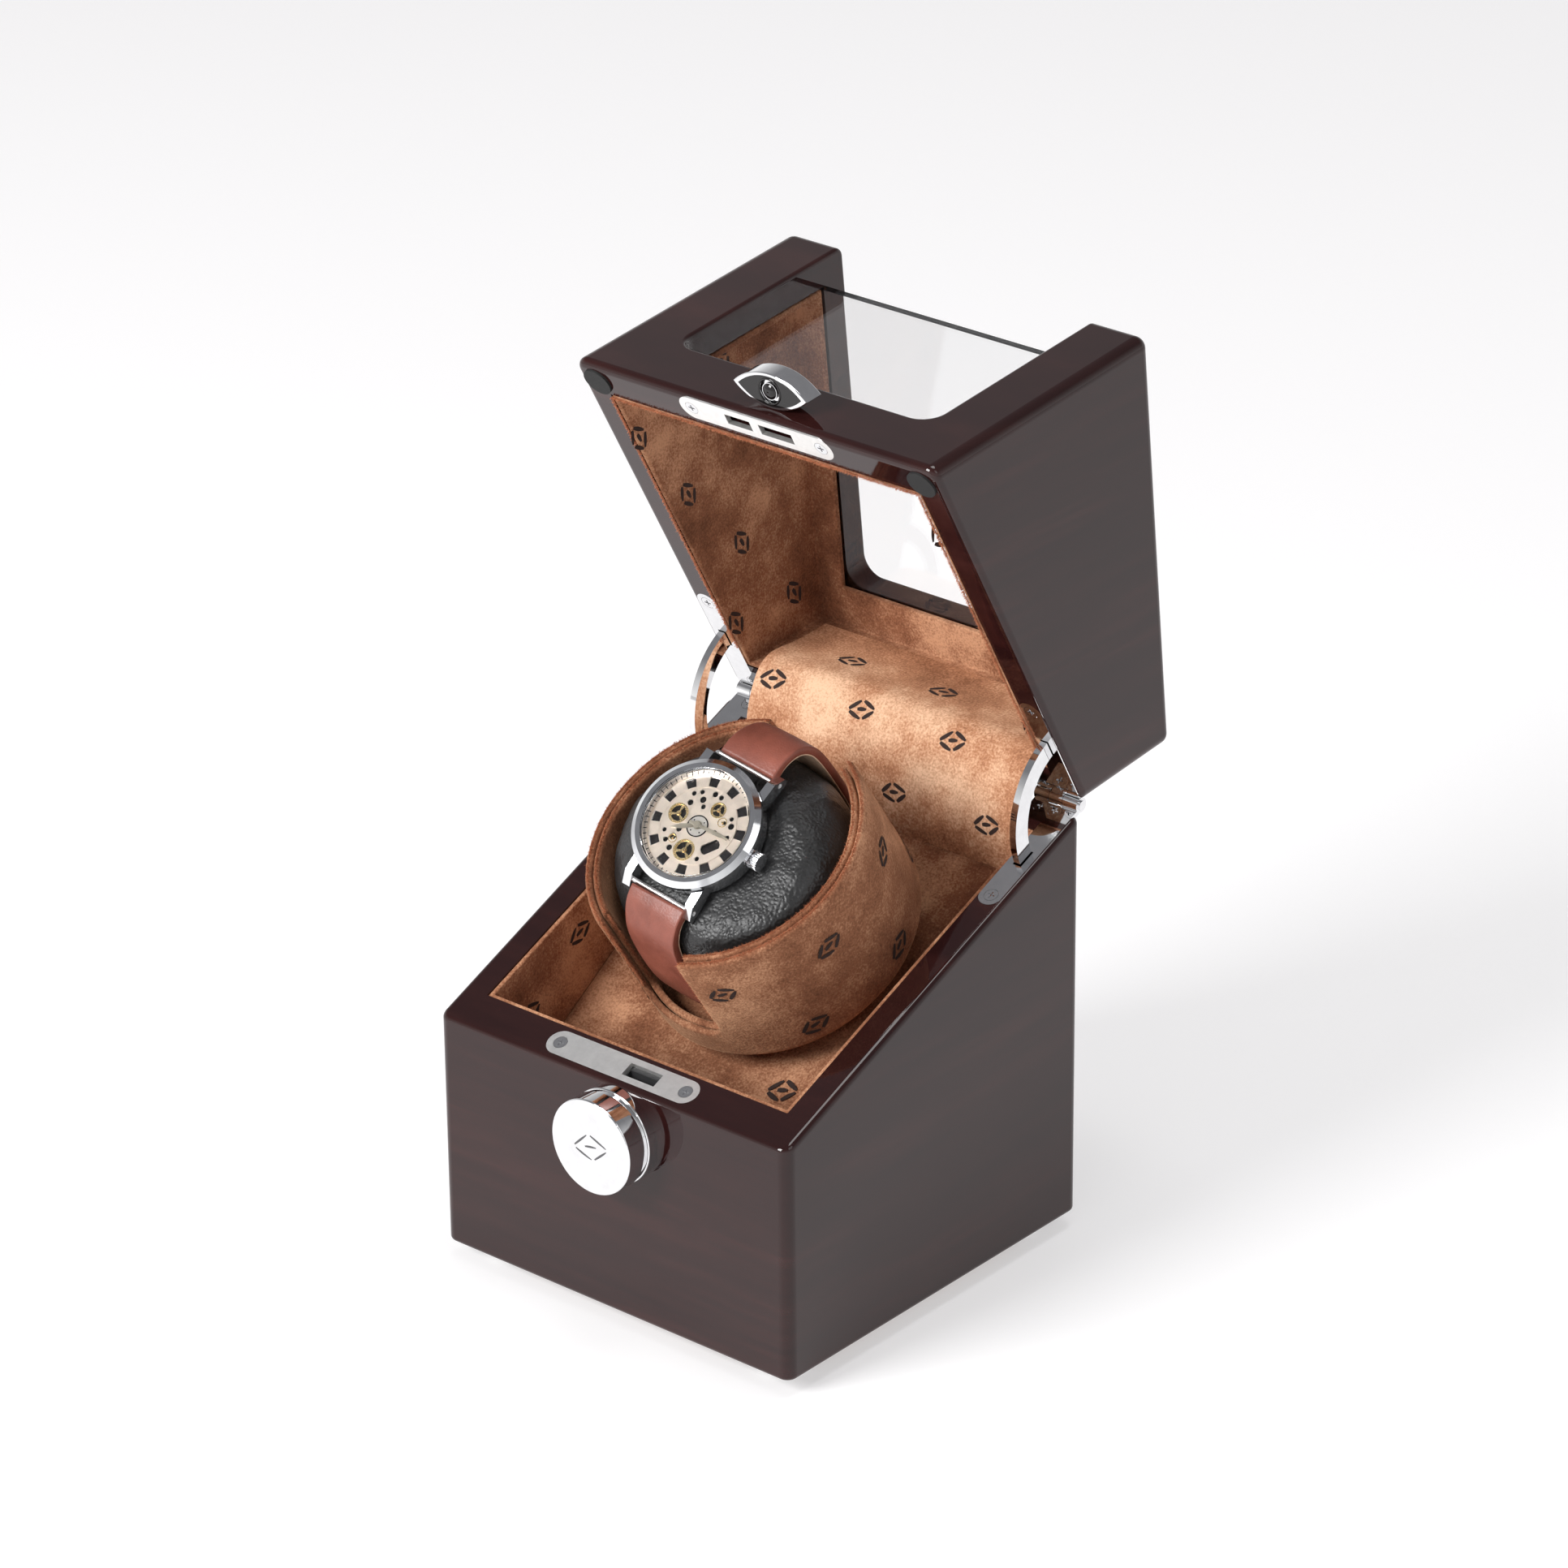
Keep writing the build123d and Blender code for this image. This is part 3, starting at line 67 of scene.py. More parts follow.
# ------------------------------------------------------------------ frames of the moving groups
LID_OPEN = math.radians(84.0)
RIM_SLOPE = math.radians(22.85)
DRUM_TURN = math.radians(-7.0)
HINGE = Vector(JOINTS["lid_hinge"]["pos_m"])
DRUM = Vector(JOINTS["drum_turn"]["pos_m"])
DRUM_DIR = Vector(JOINTS["drum_turn"]["axis"]).normalized()
WATCH = Vector(JOINTS["minute_turn"]["pos_m"])
WATCH_DIR = Vector(JOINTS["minute_turn"]["axis"]).normalized()
CROWN_DIR = Vector(JOINTS["crown_turn"]["axis"]).normalized()


def frame_matrix(origin, x_dir, z_dir):
    """A matrix whose axes are x_dir, z cross x and z_dir, in metres."""
    y_dir = z_dir.cross(x_dir)
    m = Matrix((x_dir, y_dir, z_dir)).transposed().to_4x4()
    m.translation = origin
    return m


LID = Matrix.Translation(HINGE) @ Matrix.Rotation(-LID_OPEN, 4, "X") @ Matrix.Translation(-HINGE)
BAY = frame_matrix(DRUM, Vector((1, 0, 0)), DRUM_DIR)
DRUM_M = BAY @ Matrix.Rotation(DRUM_TURN, 4, "Z")
WATCH_M = frame_matrix(WATCH, CROWN_DIR, WATCH_DIR)

BASE_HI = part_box("base_shell")[1]
INNER_LO, INNER_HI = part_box("base_lining")
HALF = BASE_HI.x / MM
INNER_X = INNER_HI.x / MM
INNER_FRONT = INNER_LO.y / MM
INNER_REAR = INNER_HI.y / MM
REAR_RIM = BASE_HI.z / MM
FRONT_RIM = REAR_RIM - 2 * HALF * math.tan(RIM_SLOPE)


# ------------------------------------------------------------------ mesh helpers
def link(name, mesh):
    """A new object in the scene."""
    o = bpy.data.objects.new(name, mesh)
    bpy.context.scene.collection.objects.link(o)
    return o


def smooth(o, on=True):
    """Smooth or flat shading on every face."""
    o.data.polygons.foreach_set("use_smooth", [on] * len(o.data.polygons))


def from_bmesh(name, bm):
    """An object made from a bmesh, which is freed."""
    mesh = bpy.data.meshes.new(name)
    bm.to_mesh(mesh)
    bm.free()
    return link(name, mesh)


def from_data(name, verts, faces):
    """An object from vertex places and face lists."""
    mesh = bpy.data.meshes.new(name)
    mesh.from_pydata([tuple(v) for v in verts], [], faces)
    mesh.update()
    return link(name, mesh)


def cad_copy(node, name):
    """A welded copy of a CAD node's mesh, to be worked on."""
    bm = bmesh.new()
    bm.from_mesh(NODES[node].data)
    bmesh.ops.remove_doubles(bm, verts=bm.verts, dist=1e-6)
    return from_bmesh(name, bm)


def baked(o):
    """Applies every modifier of an object to its mesh."""
    bpy.context.view_layer.update()
    deps = bpy.context.evaluated_depsgraph_get()
    mesh = bpy.data.meshes.new_from_object(o.evaluated_get(deps))
    o.modifiers.clear()
    o.data = mesh
    return o


def remeshed(o, voxel, rounds):
    """Voxel remesh at a size in mm, then smoothing, which rounds its edges."""
    m = o.modifiers.new("remesh", "REMESH")
    m.mode = "VOXEL"
    m.voxel_size = voxel * MM
    m.use_smooth_shade = True
    s = o.modifiers.new("smooth", "SMOOTH")
    s.factor = 0.5
    s.iterations = rounds
    return baked(o)


def bevelled(o, width, segments=3, angle=30):
    """Rounded edges on a mesh with flat faces."""
    bm = bmesh.new()
    bm.from_mesh(o.data)
    bmesh.ops.dissolve_limit(bm, angle_limit=math.radians(2), verts=bm.verts, edges=bm.edges)
    bm.to_mesh(o.data)
    bm.free()
    m = o.modifiers.new("bevel", "BEVEL")
    m.width = width * MM
    m.segments = segments
    m.limit_method = "ANGLE"
    m.angle_limit = math.radians(angle)
    return baked(o)


def wavy(o, scale, height):
    """Moves a mesh's points along their normals by smooth noise; scale is in mm, height in mm."""
    mesh = o.data
    moved = []
    for v in mesh.vertices:
        p = v.co / (scale * MM)
        moved.append(v.co + v.normal * noise.noise(p) * height * MM)
    for v, co in zip(mesh.vertices, moved):
        v.co = co
    mesh.update()
    return o


def flat_plate(name, outlines, low, high, matrix):
    """A plate with holes between two heights, in mm, its outer outline first."""
    curve = bpy.data.curves.new(name, "CURVE")
    curve.dimensions = "2D"
    curve.fill_mode = "BOTH"
    curve.extrude = (high - low) / 2 * MM
    for points in outlines:
        spline = curve.splines.new("POLY")
        spline.points.add(len(points) - 1)
        for p, (x, y) in zip(spline.points, points):
            p.co = (x * MM, y * MM, 0, 1)
        spline.use_cyclic_u = True
    temp = bpy.data.objects.new(name, curve)
    bpy.context.scene.collection.objects.link(temp)
    bpy.context.view_layer.update()
    deps = bpy.context.evaluated_depsgraph_get()
    mesh = bpy.data.meshes.new_from_object(temp.evaluated_get(deps))
    bpy.data.objects.remove(temp)
    mesh.transform(matrix @ Matrix.Translation((0, 0, (low + high) / 2 * MM)))
    return link(name, mesh)


def circle(x, y, r, count=32, start=0.0):
    """Points of a circle, in mm."""
    return [
        (x + r * math.cos(start + 2 * math.pi * i / count), y + r * math.sin(start + 2 * math.pi * i / count))
        for i in range(count)
    ]


def turned(points, angle, x=0.0, y=0.0):
    """Points turned about the origin and then moved."""
    c, s = math.cos(angle), math.sin(angle)
    return [(x + px * c - py * s, y + px * s + py * c) for px, py in points]


def joined(name, objs):
    """Several objects as one."""
    bm = bmesh.new()
    for o in objs:
        bm.from_mesh(o.data)
    for o in objs:
        bpy.data.objects.remove(o)
    return from_bmesh(name, bm)


# ------------------------------------------------------------------ materials
def new_material(name):
    """A node material with its Principled shader and a helper to add nodes."""
    m = bpy.data.materials.new(name)
    m.use_nodes = True
    tree = m.node_tree
    shader = tree.nodes["Principled BSDF"]

    def add(kind, **values):
        node = tree.nodes.new(kind)
        for key, value in values.items():
            if key in node.inputs:
                node.inputs[key].default_value = value
            else:
                setattr(node, key, value)
        return node

    def wire(a, out, b, socket):
        tree.links.new(a.outputs[out], b.inputs[socket])

    return m, shader, add, wire


def srgb(r, g, b):
    """A linear colour from 0-255 display values."""
    def lin(c):
        c /= 255
        return c / 12.92 if c <= 0.04045 else ((c + 0.055) / 1.055) ** 2.4

    return (lin(r), lin(g), lin(b), 1)


def coords(add, wire, scale):
    """Object coordinates through a mapping, as the start of a procedural pattern."""
    where = add("ShaderNodeTexCoord")
    mapping = add("ShaderNodeMapping")
    mapping.inputs["Scale"].default_value = scale
    wire(where, "Object", mapping, "Vector")
    return mapping


def noise_node(add, wire, source, scale, detail=3.0, rough=0.55):
    """A noise texture on the given coordinates; scale is in features per metre."""
    n = add("ShaderNodeTexNoise")
    n.inputs["Scale"].default_value = scale
    n.inputs["Detail"].default_value = detail
    n.inputs["Roughness"].default_value = rough
    wire(source, 0, n, "Vector")
    return n


def ramp(add, wire, source, out, stops):
    """A colour ramp with the given (place, colour) stops."""
    r = add("ShaderNodeValToRGB")
    r.color_ramp.elements[0].position, r.color_ramp.elements[0].color = stops[0]
    r.color_ramp.elements[1].position, r.color_ramp.elements[1].color = stops[-1]
    for place, colour in stops[1:-1]:
        e = r.color_ramp.elements.new(place)
        e.color = colour
    wire(source, out, r, "Fac")
    return r


def bump(add, wire, source, out, shader, strength, distance, after=None):
    """A bump from a height, put on the shader's normal."""
    b = add("ShaderNodeBump")
    b.inputs["Strength"].default_value = strength
    b.inputs["Distance"].default_value = distance
    wire(source, out, b, "Height")
    if after:
        wire(after, "Normal", b, "Normal")
    wire(b, "Normal", shader, "Normal")
    return b


def velvet_material(name, dark, mid, light, clouds=38.0):
    """Short-pile velvet: brushed clouds of nap, fine fibres and a soft sheen."""
    m, shader, add, wire = new_material(name)
    at = coords(add, wire, (1, 1, 1))
    cloud = noise_node(add, wire, at, clouds, 5.0, 0.62)
    pile = noise_node(add, wire, at, 1500.0, 2.0)
    both = add("ShaderNodeMath", operation="MULTIPLY_ADD")
    wire(pile, "Fac", both, 0)
    both.inputs[1].default_value = 0.45
    wire(cloud, "Fac", both, 2)
    colour = ramp(add, wire, both, 0, [(0.52, dark), (0.70, mid), (0.9, light)])
    wire(colour, "Color", shader, "Base Color")
    shader.inputs["Roughness"].default_value = 0.9
    shader.inputs["Specular IOR Level"].default_value = 0.15
    shader.inputs["Sheen Weight"].default_value = 0.55
    shader.inputs["Sheen Roughness"].default_value = 0.4
    shader.inputs["Sheen Tint"].default_value = srgb(240, 190, 150)
    bump(add, wire, pile, "Fac", shader, 0.55, 0.0004)
    return m


def lacquer_material():
    """Deep brown-red wood under a thick polished lacquer."""
    m, shader, add, wire = new_material("lacquer")
    at = coords(add, wire, (9, 9, 150))
    grain = noise_node(add, wire, at, 1.0, 6.0, 0.6)
    fine = noise_node(add, wire, at, 4.2, 4.0, 0.6)
    mixed = add("ShaderNodeMath", operation="MULTIPLY_ADD")
    wire(fine, "Fac", mixed, 0)
    mixed.inputs[1].default_value = 0.4
    wire(grain, "Fac", mixed, 2)
    colour = ramp(
        add, wire, mixed, 0, [(0.5, srgb(34, 14, 14)), (0.72, srgb(40, 18, 17)), (0.95, srgb(52, 25, 23))]
    )
    wire(colour, "Color", shader, "Base Color")
    shader.inputs["Roughness"].default_value = 0.5
    shader.inputs["Specular IOR Level"].default_value = 0.0
    shader.inputs["Coat Weight"].default_value = 1.0
    shader.inputs["Coat Roughness"].default_value = 0.03
    shader.inputs["Coat IOR"].default_value = 1.46
    orange = noise_node(add, wire, coords(add, wire, (1, 1, 1)), 190.0, 2.0)
    bump(add, wire, orange, "Fac", shader, 0.05, 0.0003)
    return m


def metal_material(name, colour, rough, smear=0.05, scale=240.0, stretch=(1, 1, 1)):
    """Metal whose polish varies a little, from handling and brushing."""
    m, shader, add, wire = new_material(name)
    at = coords(add, wire, stretch)
    marks = noise_node(add, wire, at, scale, 5.0, 0.65)
    spread = add("ShaderNodeMapRange")
    wire(marks, "Fac", spread, "Value")
    spread.inputs["To Min"].default_value = max(0.01, rough - smear)
    spread.inputs["To Max"].default_value = rough + smear
    wire(spread, "Result", shader, "Roughness")
    tone = ramp(add, wire, marks, "Fac", [(0.3, tuple(c * 0.9 for c in colour[:3]) + (1,)), (0.7, colour)])
    wire(tone, "Color", shader, "Base Color")
    shader.inputs["Metallic"].default_value = 1.0
    bump(add, wire, marks, "Fac", shader, 0.03, 0.0002)
    return m


def leather_material(name, dark, light, cell, height, rough, wrinkle):
    """Leather with pebbles of a cell size in mm, and larger creases."""
    m, shader, add, wire = new_material(name)
    at = coords(add, wire, (1, 1, 1))
    warp = noise_node(add, wire, at, 300.0, 2.0)
    bent = add("ShaderNodeMixRGB", blend_type="ADD")
    bent.inputs["Fac"].default_value = 0.0012
    wire(at, 0, bent, "Color1")
    wire(warp, "Color", bent, "Color2")
    pebble = add("ShaderNodeTexVoronoi")
    pebble.feature = "SMOOTH_F1"
    pebble.inputs["Scale"].default_value = 1000.0 / cell
    wire(bent, 0, pebble, "Vector")
    crease = noise_node(add, wire, at, wrinkle, 4.0, 0.6)
    tone = ramp(add, wire, crease, "Fac", [(0.35, dark), (0.7, light)])
    wire(tone, "Color", shader, "Base Color")
    spread = add("ShaderNodeMapRange")
    wire(pebble, "Distance", spread, "Value")
    spread.inputs["To Min"].default_value = rough - 0.08
    spread.inputs["To Max"].default_value = rough + 0.14
    wire(spread, "Result", shader, "Roughness")
    first = bump(add, wire, crease, "Fac", shader, 0.5, 0.0008)
    bump(add, wire, pebble, "Distance", shader, height, 0.0005, after=first)
    return m


def plain_material(name, colour, rough, grain=900.0, height=0.15, light=1.35):
    """Moulded plastic, rubber or paint with a fine grain."""
    m, shader, add, wire = new_material(name)
    at = coords(add, wire, (1, 1, 1))
    grit = noise_node(add, wire, at, grain, 3.0)
    tone = ramp(
        add, wire, grit, "Fac", [(0.3, colour), (0.75, tuple(min(1, c * light) for c in colour[:3]) + (1,))]
    )
    wire(tone, "Color", shader, "Base Color")
    shader.inputs["Roughness"].default_value = rough
    bump(add, wire, grit, "Fac", shader, height, 0.0002)
    return m


def glass_material(name, tint):
    """Clear polished acrylic or crystal."""
    m, shader, add, wire = new_material(name)
    shader.inputs["Transmission Weight"].default_value = 1.0
    shader.inputs["IOR"].default_value = 1.45
    haze = noise_node(add, wire, coords(add, wire, (1, 1, 1)), 60.0, 3.0)
    spread = add("ShaderNodeMapRange")
    wire(haze, "Fac", spread, "Value")
    spread.inputs["To Min"].default_value = 0.0
    spread.inputs["To Max"].default_value = 0.012
    wire(spread, "Result", shader, "Roughness")
    shader.inputs["Base Color"].default_value = tint
    return m


VELVET = velvet_material("velvet", srgb(100, 61, 42), srgb(142, 94, 68), srgb(200, 150, 116))
# Painted light: a lighter copy of the lining velvet for the sheet over the hinges, standing in for the light
# that falls on that sheet.
VELVET_LIT_COPY = velvet_material(
    "velvet_painted_light", srgb(128, 82, 57), srgb(186, 132, 98), srgb(236, 194, 160), 30.0
)
VELVET_INK = plain_material("velvet_print", srgb(44, 30, 26), 0.9, 1500.0, 0.5)
LACQUER = lacquer_material()
CHROME = metal_material("chrome", (0.86, 0.86, 0.87, 1), 0.05, 0.03)
STEEL = metal_material("polished_steel", (0.8, 0.81, 0.83, 1), 0.1, 0.05)
SATIN = metal_material("satin_steel", (0.62, 0.61, 0.6, 1), 0.3, 0.08)
FOOT = metal_material("foot_metal", (0.75, 0.74, 0.72, 1), 0.22, 0.06)
BRASS = metal_material("brass", (0.78, 0.6, 0.32, 1), 0.25, 0.06)
ROSE = metal_material("rose_gold", (0.9, 0.78, 0.66, 1), 0.34, 0.1, 700.0)
MOVEMENT = metal_material("movement_plate", (0.6, 0.47, 0.36, 1), 0.38, 0.1, 900.0)
DARK_METAL = metal_material("dark_metal", (0.05, 0.045, 0.045, 1), 0.25, 0.06)
LEATHER = leather_material(
    "cushion_leather", (0.008, 0.008, 0.008, 1), (0.026, 0.026, 0.027, 1), 0.9, 0.5, 0.4, 60.0
)
STRAP = leather_material("strap_leather", srgb(112, 58, 45), srgb(150, 84, 68), 0.5, 0.12, 0.42, 60.0)
STRAP_EDGE = plain_material("strap_edge", srgb(196, 166, 140), 0.7)
RUBBER = plain_material("black_rubber", (0.008, 0.008, 0.008, 1), 0.75, 1800.0, 0.4)
PLASTIC = plain_material("black_plastic", (0.014, 0.014, 0.015, 1), 0.5)
NYLON = plain_material("nylon", (0.78, 0.76, 0.7, 1), 0.5)
BOARD = plain_material("circuit_green", (0.02, 0.16, 0.06, 1), 0.45)
PLYWOOD = plain_material("plywood", srgb(150, 118, 84), 0.75, 260.0, 0.2)
PANE = glass_material("pane", (1, 1, 1, 1))
CRYSTAL = glass_material("crystal", (1, 1, 1, 1))
STEEL_HANDS = metal_material("hands", (0.5, 0.45, 0.36, 1), 0.3, 0.05, 900.0)
PEARL = plain_material("dial_white", (0.6, 0.57, 0.52, 1), 0.3, 1200.0, 0.05, 1.05)
ENGRAVED = metal_material("engraving", (0.16, 0.16, 0.165, 1), 0.4, 0.08)
PLATE = metal_material("satin_plate", (0.95, 0.94, 0.92, 1), 0.42, 0.05, 500.0)
PILE = plain_material("velvet_pile", srgb(176, 110, 76), 0.85, 300.0, 0.1, 1.25)
GLOSS_BLACK = plain_material("gloss_black", (0.006, 0.005, 0.005, 1), 0.04, 200.0, 0.02)

NODE_MATERIALS = {
    LACQUER: ["base_shell", "lid_shell"],
    CHROME: [
        "button_cap", "button_collar", "lid_pull", "hinge_base_leaf_left",
        "hinge_base_leaf_right", "hinge_lid_leaf_left", "hinge_lid_leaf_right", "stay_arm_left",
        "stay_arm_right", "hinge_pins", "base_screws", "lid_screws",
    ],
    PLATE: ["lock_plate", "keeper_plate"],
    STEEL: ["watch_case", "watch_bezel", "watch_crown"],
    SATIN: [
        "latch_bolt", "bottom_screws", "button_spring", "spring_bars", "strap_buckle", "drum_shaft",
        "shaft_clip", "motor_shaft", "motor_bridge", "bridge_posts", "gearmotor",
    ],
    FOOT: ["feet"],
    BRASS: ["shaft_bushes"],
    MOVEMENT: ["watch_movement"],
    STEEL_HANDS: ["hour_hand", "minute_hand"],
    RUBBER: ["foot_pads", "bumpers"],
    PLASTIC: ["control_plate", "power_jack", "mode_switch", "mode_knob", "lock_body"],
    NYLON: ["drive_gear", "motor_pinion"],
    BOARD: ["circuit_board"],
    PLYWOOD: ["bottom_plate", "corner_blocks", "panel_cleats", "motor_panel"],
    PANE: ["front_pane", "top_pane"],
    CRYSTAL: ["watch_crystal"],
    VELVET: ["base_lining", "lid_lining", "drum_cup", "drum_sleeve", "hinge_flap"],
    LEATHER: ["cushion"],
    STRAP: ["watch_strap"],
    ROSE: ["watch_dial"],
}
for material, names in NODE_MATERIALS.items():
    for node_name in names:
        node = NODES[node_name]
        for held in node.material_slots:
            held.material = material
        if not node.material_slots:
            node.data.materials.append(material)


def dress(o, material, body, stands_for=()):
    """Gives a finished piece its material, in its one slot, and its body, and hides the nodes it stands for.
    """
    o.data.materials.clear()
    o.data.materials.append(material)
    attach(o, body)
    if stands_for:
        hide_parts(*stands_for)
    return o


# ------------------------------------------------------------------ velvet linings
def covered_board(node, name, body):
    """A velvet-covered lining: the board's own shape with soft edges."""
    o = cad_copy(node, name)
    bevelled(o, 0.55, 3)
    smooth(o)
    m = o.modifiers.new("weight", "WEIGHTED_NORMAL")
    m.keep_sharp = False
    baked(o)
    return dress(o, VELVET, body, (node,))


covered_board("base_lining", "base_velvet", "base")
covered_board("lid_lining", "lid_velvet", "lid")


def rim_z(y, offset=0.0):
    """Height of the base rim at a depth y, both in mm, lowered square to the slope."""
    return FRONT_RIM + (y + HALF) * math.tan(RIM_SLOPE) + offset / math.cos(RIM_SLOPE)


def grid(name, place, nu, nv):
    """A sheet whose point (u, v), each 0 to 1, is given by place, in metres."""
    verts = [place(i / (nu - 1), j / (nv - 1)) for j in range(nv) for i in range(nu)]
    faces = [
        (j * nu + i, j * nu + i + 1, (j + 1) * nu + i + 1, (j + 1) * nu + i)
        for j in range(nv - 1)
        for i in range(nu - 1)
    ]
    o = from_data(name, verts, faces)
    smooth(o)
    return o


PANEL_DROP = 55.2
TILT_SLOPE = -DRUM_DIR.y / DRUM_DIR.z
PANEL_AT = DRUM - DRUM_DIR * PANEL_DROP * MM


def panel_z(y, proud=0.0):
    """Height of the sloped motor panel at a depth y, in mm."""
    return PANEL_AT.z / MM + (y - PANEL_AT.y / MM) * TILT_SLOPE + proud / DRUM_DIR.z


def thickened(o, depth):
    """Gives a sheet a thickness in mm behind its face."""
    m = o.modifiers.new("solid", "SOLIDIFY")
    m.thickness = depth * MM
    m.offset = -1
    return baked(o)


SKIN = 1.7


def panel_place(u, v):
    x = (INNER_X - SKIN) * (2 * u - 1)
    y = INNER_FRONT + SKIN + (INNER_REAR - INNER_FRONT - 2 * SKIN) * v
    swell = 0.16 * noise.noise(Vector((x / 14, y / 14, 0)))
    return Vector((x, y, panel_z(y, 0.42 + swell))) * MM


panel_velvet = grid("panel_velvet", panel_place, 56, 56)
thickened(panel_velvet, 0.2)
dress(panel_velvet, VELVET, "base")

# ------------------------------------------------------------------ the flap over the hinges
FLAP_HALF = 50.4
WALL = INNER_REAR - SKIN - 0.35
seam_z = panel_z(WALL) + 0.5
LID_WALL_STEPS = ((131.5, 2.0), (138, 0.9), (144, 0.3), (150, 0), (154, 0))


def lid_point(x, y, z):
    """A place on the closed lid, in mm, taken to the open position, in metres."""
    return LID @ (Vector((x, y, z)) * MM)


def flap_curve():
    """The sheet's profile: up the base's rear wall, over the hinge and along the lid's rear wall."""
    low = [Vector((0, WALL, z)) * MM for z in (seam_z, seam_z + 4, seam_z + 8)]
    high = [lid_point(0, WALL - gap, z) for z, gap in LID_WALL_STEPS]
    a, b = low[-1], high[0]
    reach = (b - a).length
    out = [low[0], low[1]]
    for i in range(13):
        t = i / 12
        tangent_a = Vector((0, -0.05, 1)) * reach * 1.0
        tangent_b = (high[1] - high[0]).normalized() * reach * 1.0
        h = (
            a * (2 * t**3 - 3 * t**2 + 1)
            + tangent_a * (t**3 - 2 * t**2 + t)
            + b * (-2 * t**3 + 3 * t**2)
            + tangent_b * (t**3 - t**2)
        )
        out.append(h)
    return out + high[1:]


def sampled(points, t):
    """A place along a polyline at a share t of its length."""
    lengths = [0.0]
    for p, q in zip(points, points[1:]):
        lengths.append(lengths[-1] + (q - p).length)
    goal = t * lengths[-1]
    for i in range(len(points) - 1):
        if goal <= lengths[i + 1] + 1e-12:
            share = (goal - lengths[i]) / (lengths[i + 1] - lengths[i])
            return points[i].lerp(points[i + 1], share)
    return points[-1].copy()


FLAP = flap_curve()
FLAP_LENGTH = sum((q - p).length for p, q in zip(FLAP, FLAP[1:]))


def flap_place(u, v, proud=0.0):
    """A place on the sheet, in shares of its width and length, and how proud of it in mm."""
    p = sampled(FLAP, v)
    ahead, behind = sampled(FLAP, min(1, v + 0.01)), sampled(FLAP, max(0, v - 0.01))
    along = (ahead - behind).normalized()
    out = Vector((0, -along.z, along.y))
    x = FLAP_HALF * (2 * u - 1)
    loose = math.sin(math.pi * v) ** 2
    broad = 0.7 * noise.noise(Vector((x / 22, v * 3.2, 4)))
    small = 0.25 * noise.noise(Vector((x / 7, v * 9, 9)))
    swell = loose * (broad + small)
    return Vector((x * MM, p.y, p.z)) + out * (swell + proud) * MM


flap = grid("hinge_velvet", flap_place, 80, 64)
# Painted light: the sheet takes the lighter copy of the same velvet as the lining.
flap.data.materials.append(VELVET_LIT_COPY)
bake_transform(flap)
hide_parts("hinge_flap")

# ------------------------------------------------------------------ the drum
for cad_name, piece_name in (("drum_cup", "drum_cover"), ("drum_sleeve", "drum_liner")):
    cover = cad_copy(cad_name, piece_name)
    remeshed(cover, 0.62, 6)
    wavy(cover, 9.0, 0.14)
    smooth(cover)
    dress(cover, VELVET, "drum", (cad_name,))


# ------------------------------------------------------------------ the cushion
def inflated(o, frames, pressure, cap):
    """Runs cloth with inner pressure on a large copy and keeps moves under a cap in mm."""
    big = 20.0
    o.data.transform(Matrix.Scale(big, 4))
    start = [v.co.copy() for v in o.data.vertices]
    m = o.modifiers.new("cloth", "CLOTH")
    m.settings.use_pressure = True
    m.settings.uniform_pressure_force = pressure
    m.settings.effector_weights.gravity = 0
    m.settings.tension_stiffness = 12
    m.settings.compression_stiffness = 12
    m.settings.bending_stiffness = 0.4
    m.point_cache.frame_end = frames
    scene = bpy.context.scene
    for f in range(1, frames + 1):
        scene.frame_set(f)
    baked(o)
    scene.frame_set(1)
    limit = cap * MM * big
    for v, was in zip(o.data.vertices, start):
        move = v.co - was
        if move.length > limit:
            v.co = was + move.normalized() * limit
    o.data.transform(Matrix.Scale(1 / big, 4))
    o.data.update()
    return o


cushion = cad_copy("cushion", "cushion_pad")
remeshed(cushion, 1.5, 3)
inflated(cushion, 18, 4.0, 0.7)
wavy(cushion, 7.0, 0.5)
wavy(cushion, 3.0, 0.12)
sub = cushion.modifiers.new("sub", "SUBSURF")
sub.levels = 1
baked(cushion)
smooth(cushion)
dress(cushion, LEATHER, "drum", ("cushion",))

# ------------------------------------------------------------------ the strap
def rounded(points, rounds=4):
    """Cuts the corners of an open polyline of vectors."""
    for _ in range(rounds):
        out = [points[0]]
        for p, q in zip(points, points[1:]):
            out += [p.lerp(q, 0.25), p.lerp(q, 0.75)]
        out.append(points[-1])
        points = out
    return points


def sweep(name, path, side_at, outline_at, count=90):
    """A closed band along a path; outline_at gives its section at a share of the length."""
    verts, faces = [], []
    for i in range(count):
        t = i / (count - 1)
        p = sampled(path, t)
        along = (sampled(path, min(1, t + 0.01)) - sampled(path, max(0, t - 0.01))).normalized()
        across = side_at(t)
        across = (across - along * across.dot(along)).normalized()
        out = across.cross(along)
        section = outline_at(t)
        verts += [p + across * x * MM + out * z * MM for x, z in section]
    n = len(section)
    for i in range(count - 1):
        for j in range(n):
            k = (j + 1) % n
            faces.append((i * n + j, i * n + k, (i + 1) * n + k, (i + 1) * n + j))
    faces.append(tuple(reversed(range(n))))
    faces.append(tuple((count - 1) * n + j for j in range(n)))
    o = from_data(name, verts, faces)
    bm = bmesh.new()
    bm.from_mesh(o.data)
    bmesh.ops.recalc_face_normals(bm, faces=bm.faces)
    bm.to_mesh(o.data)
    bm.free()
    smooth(o)
    return o


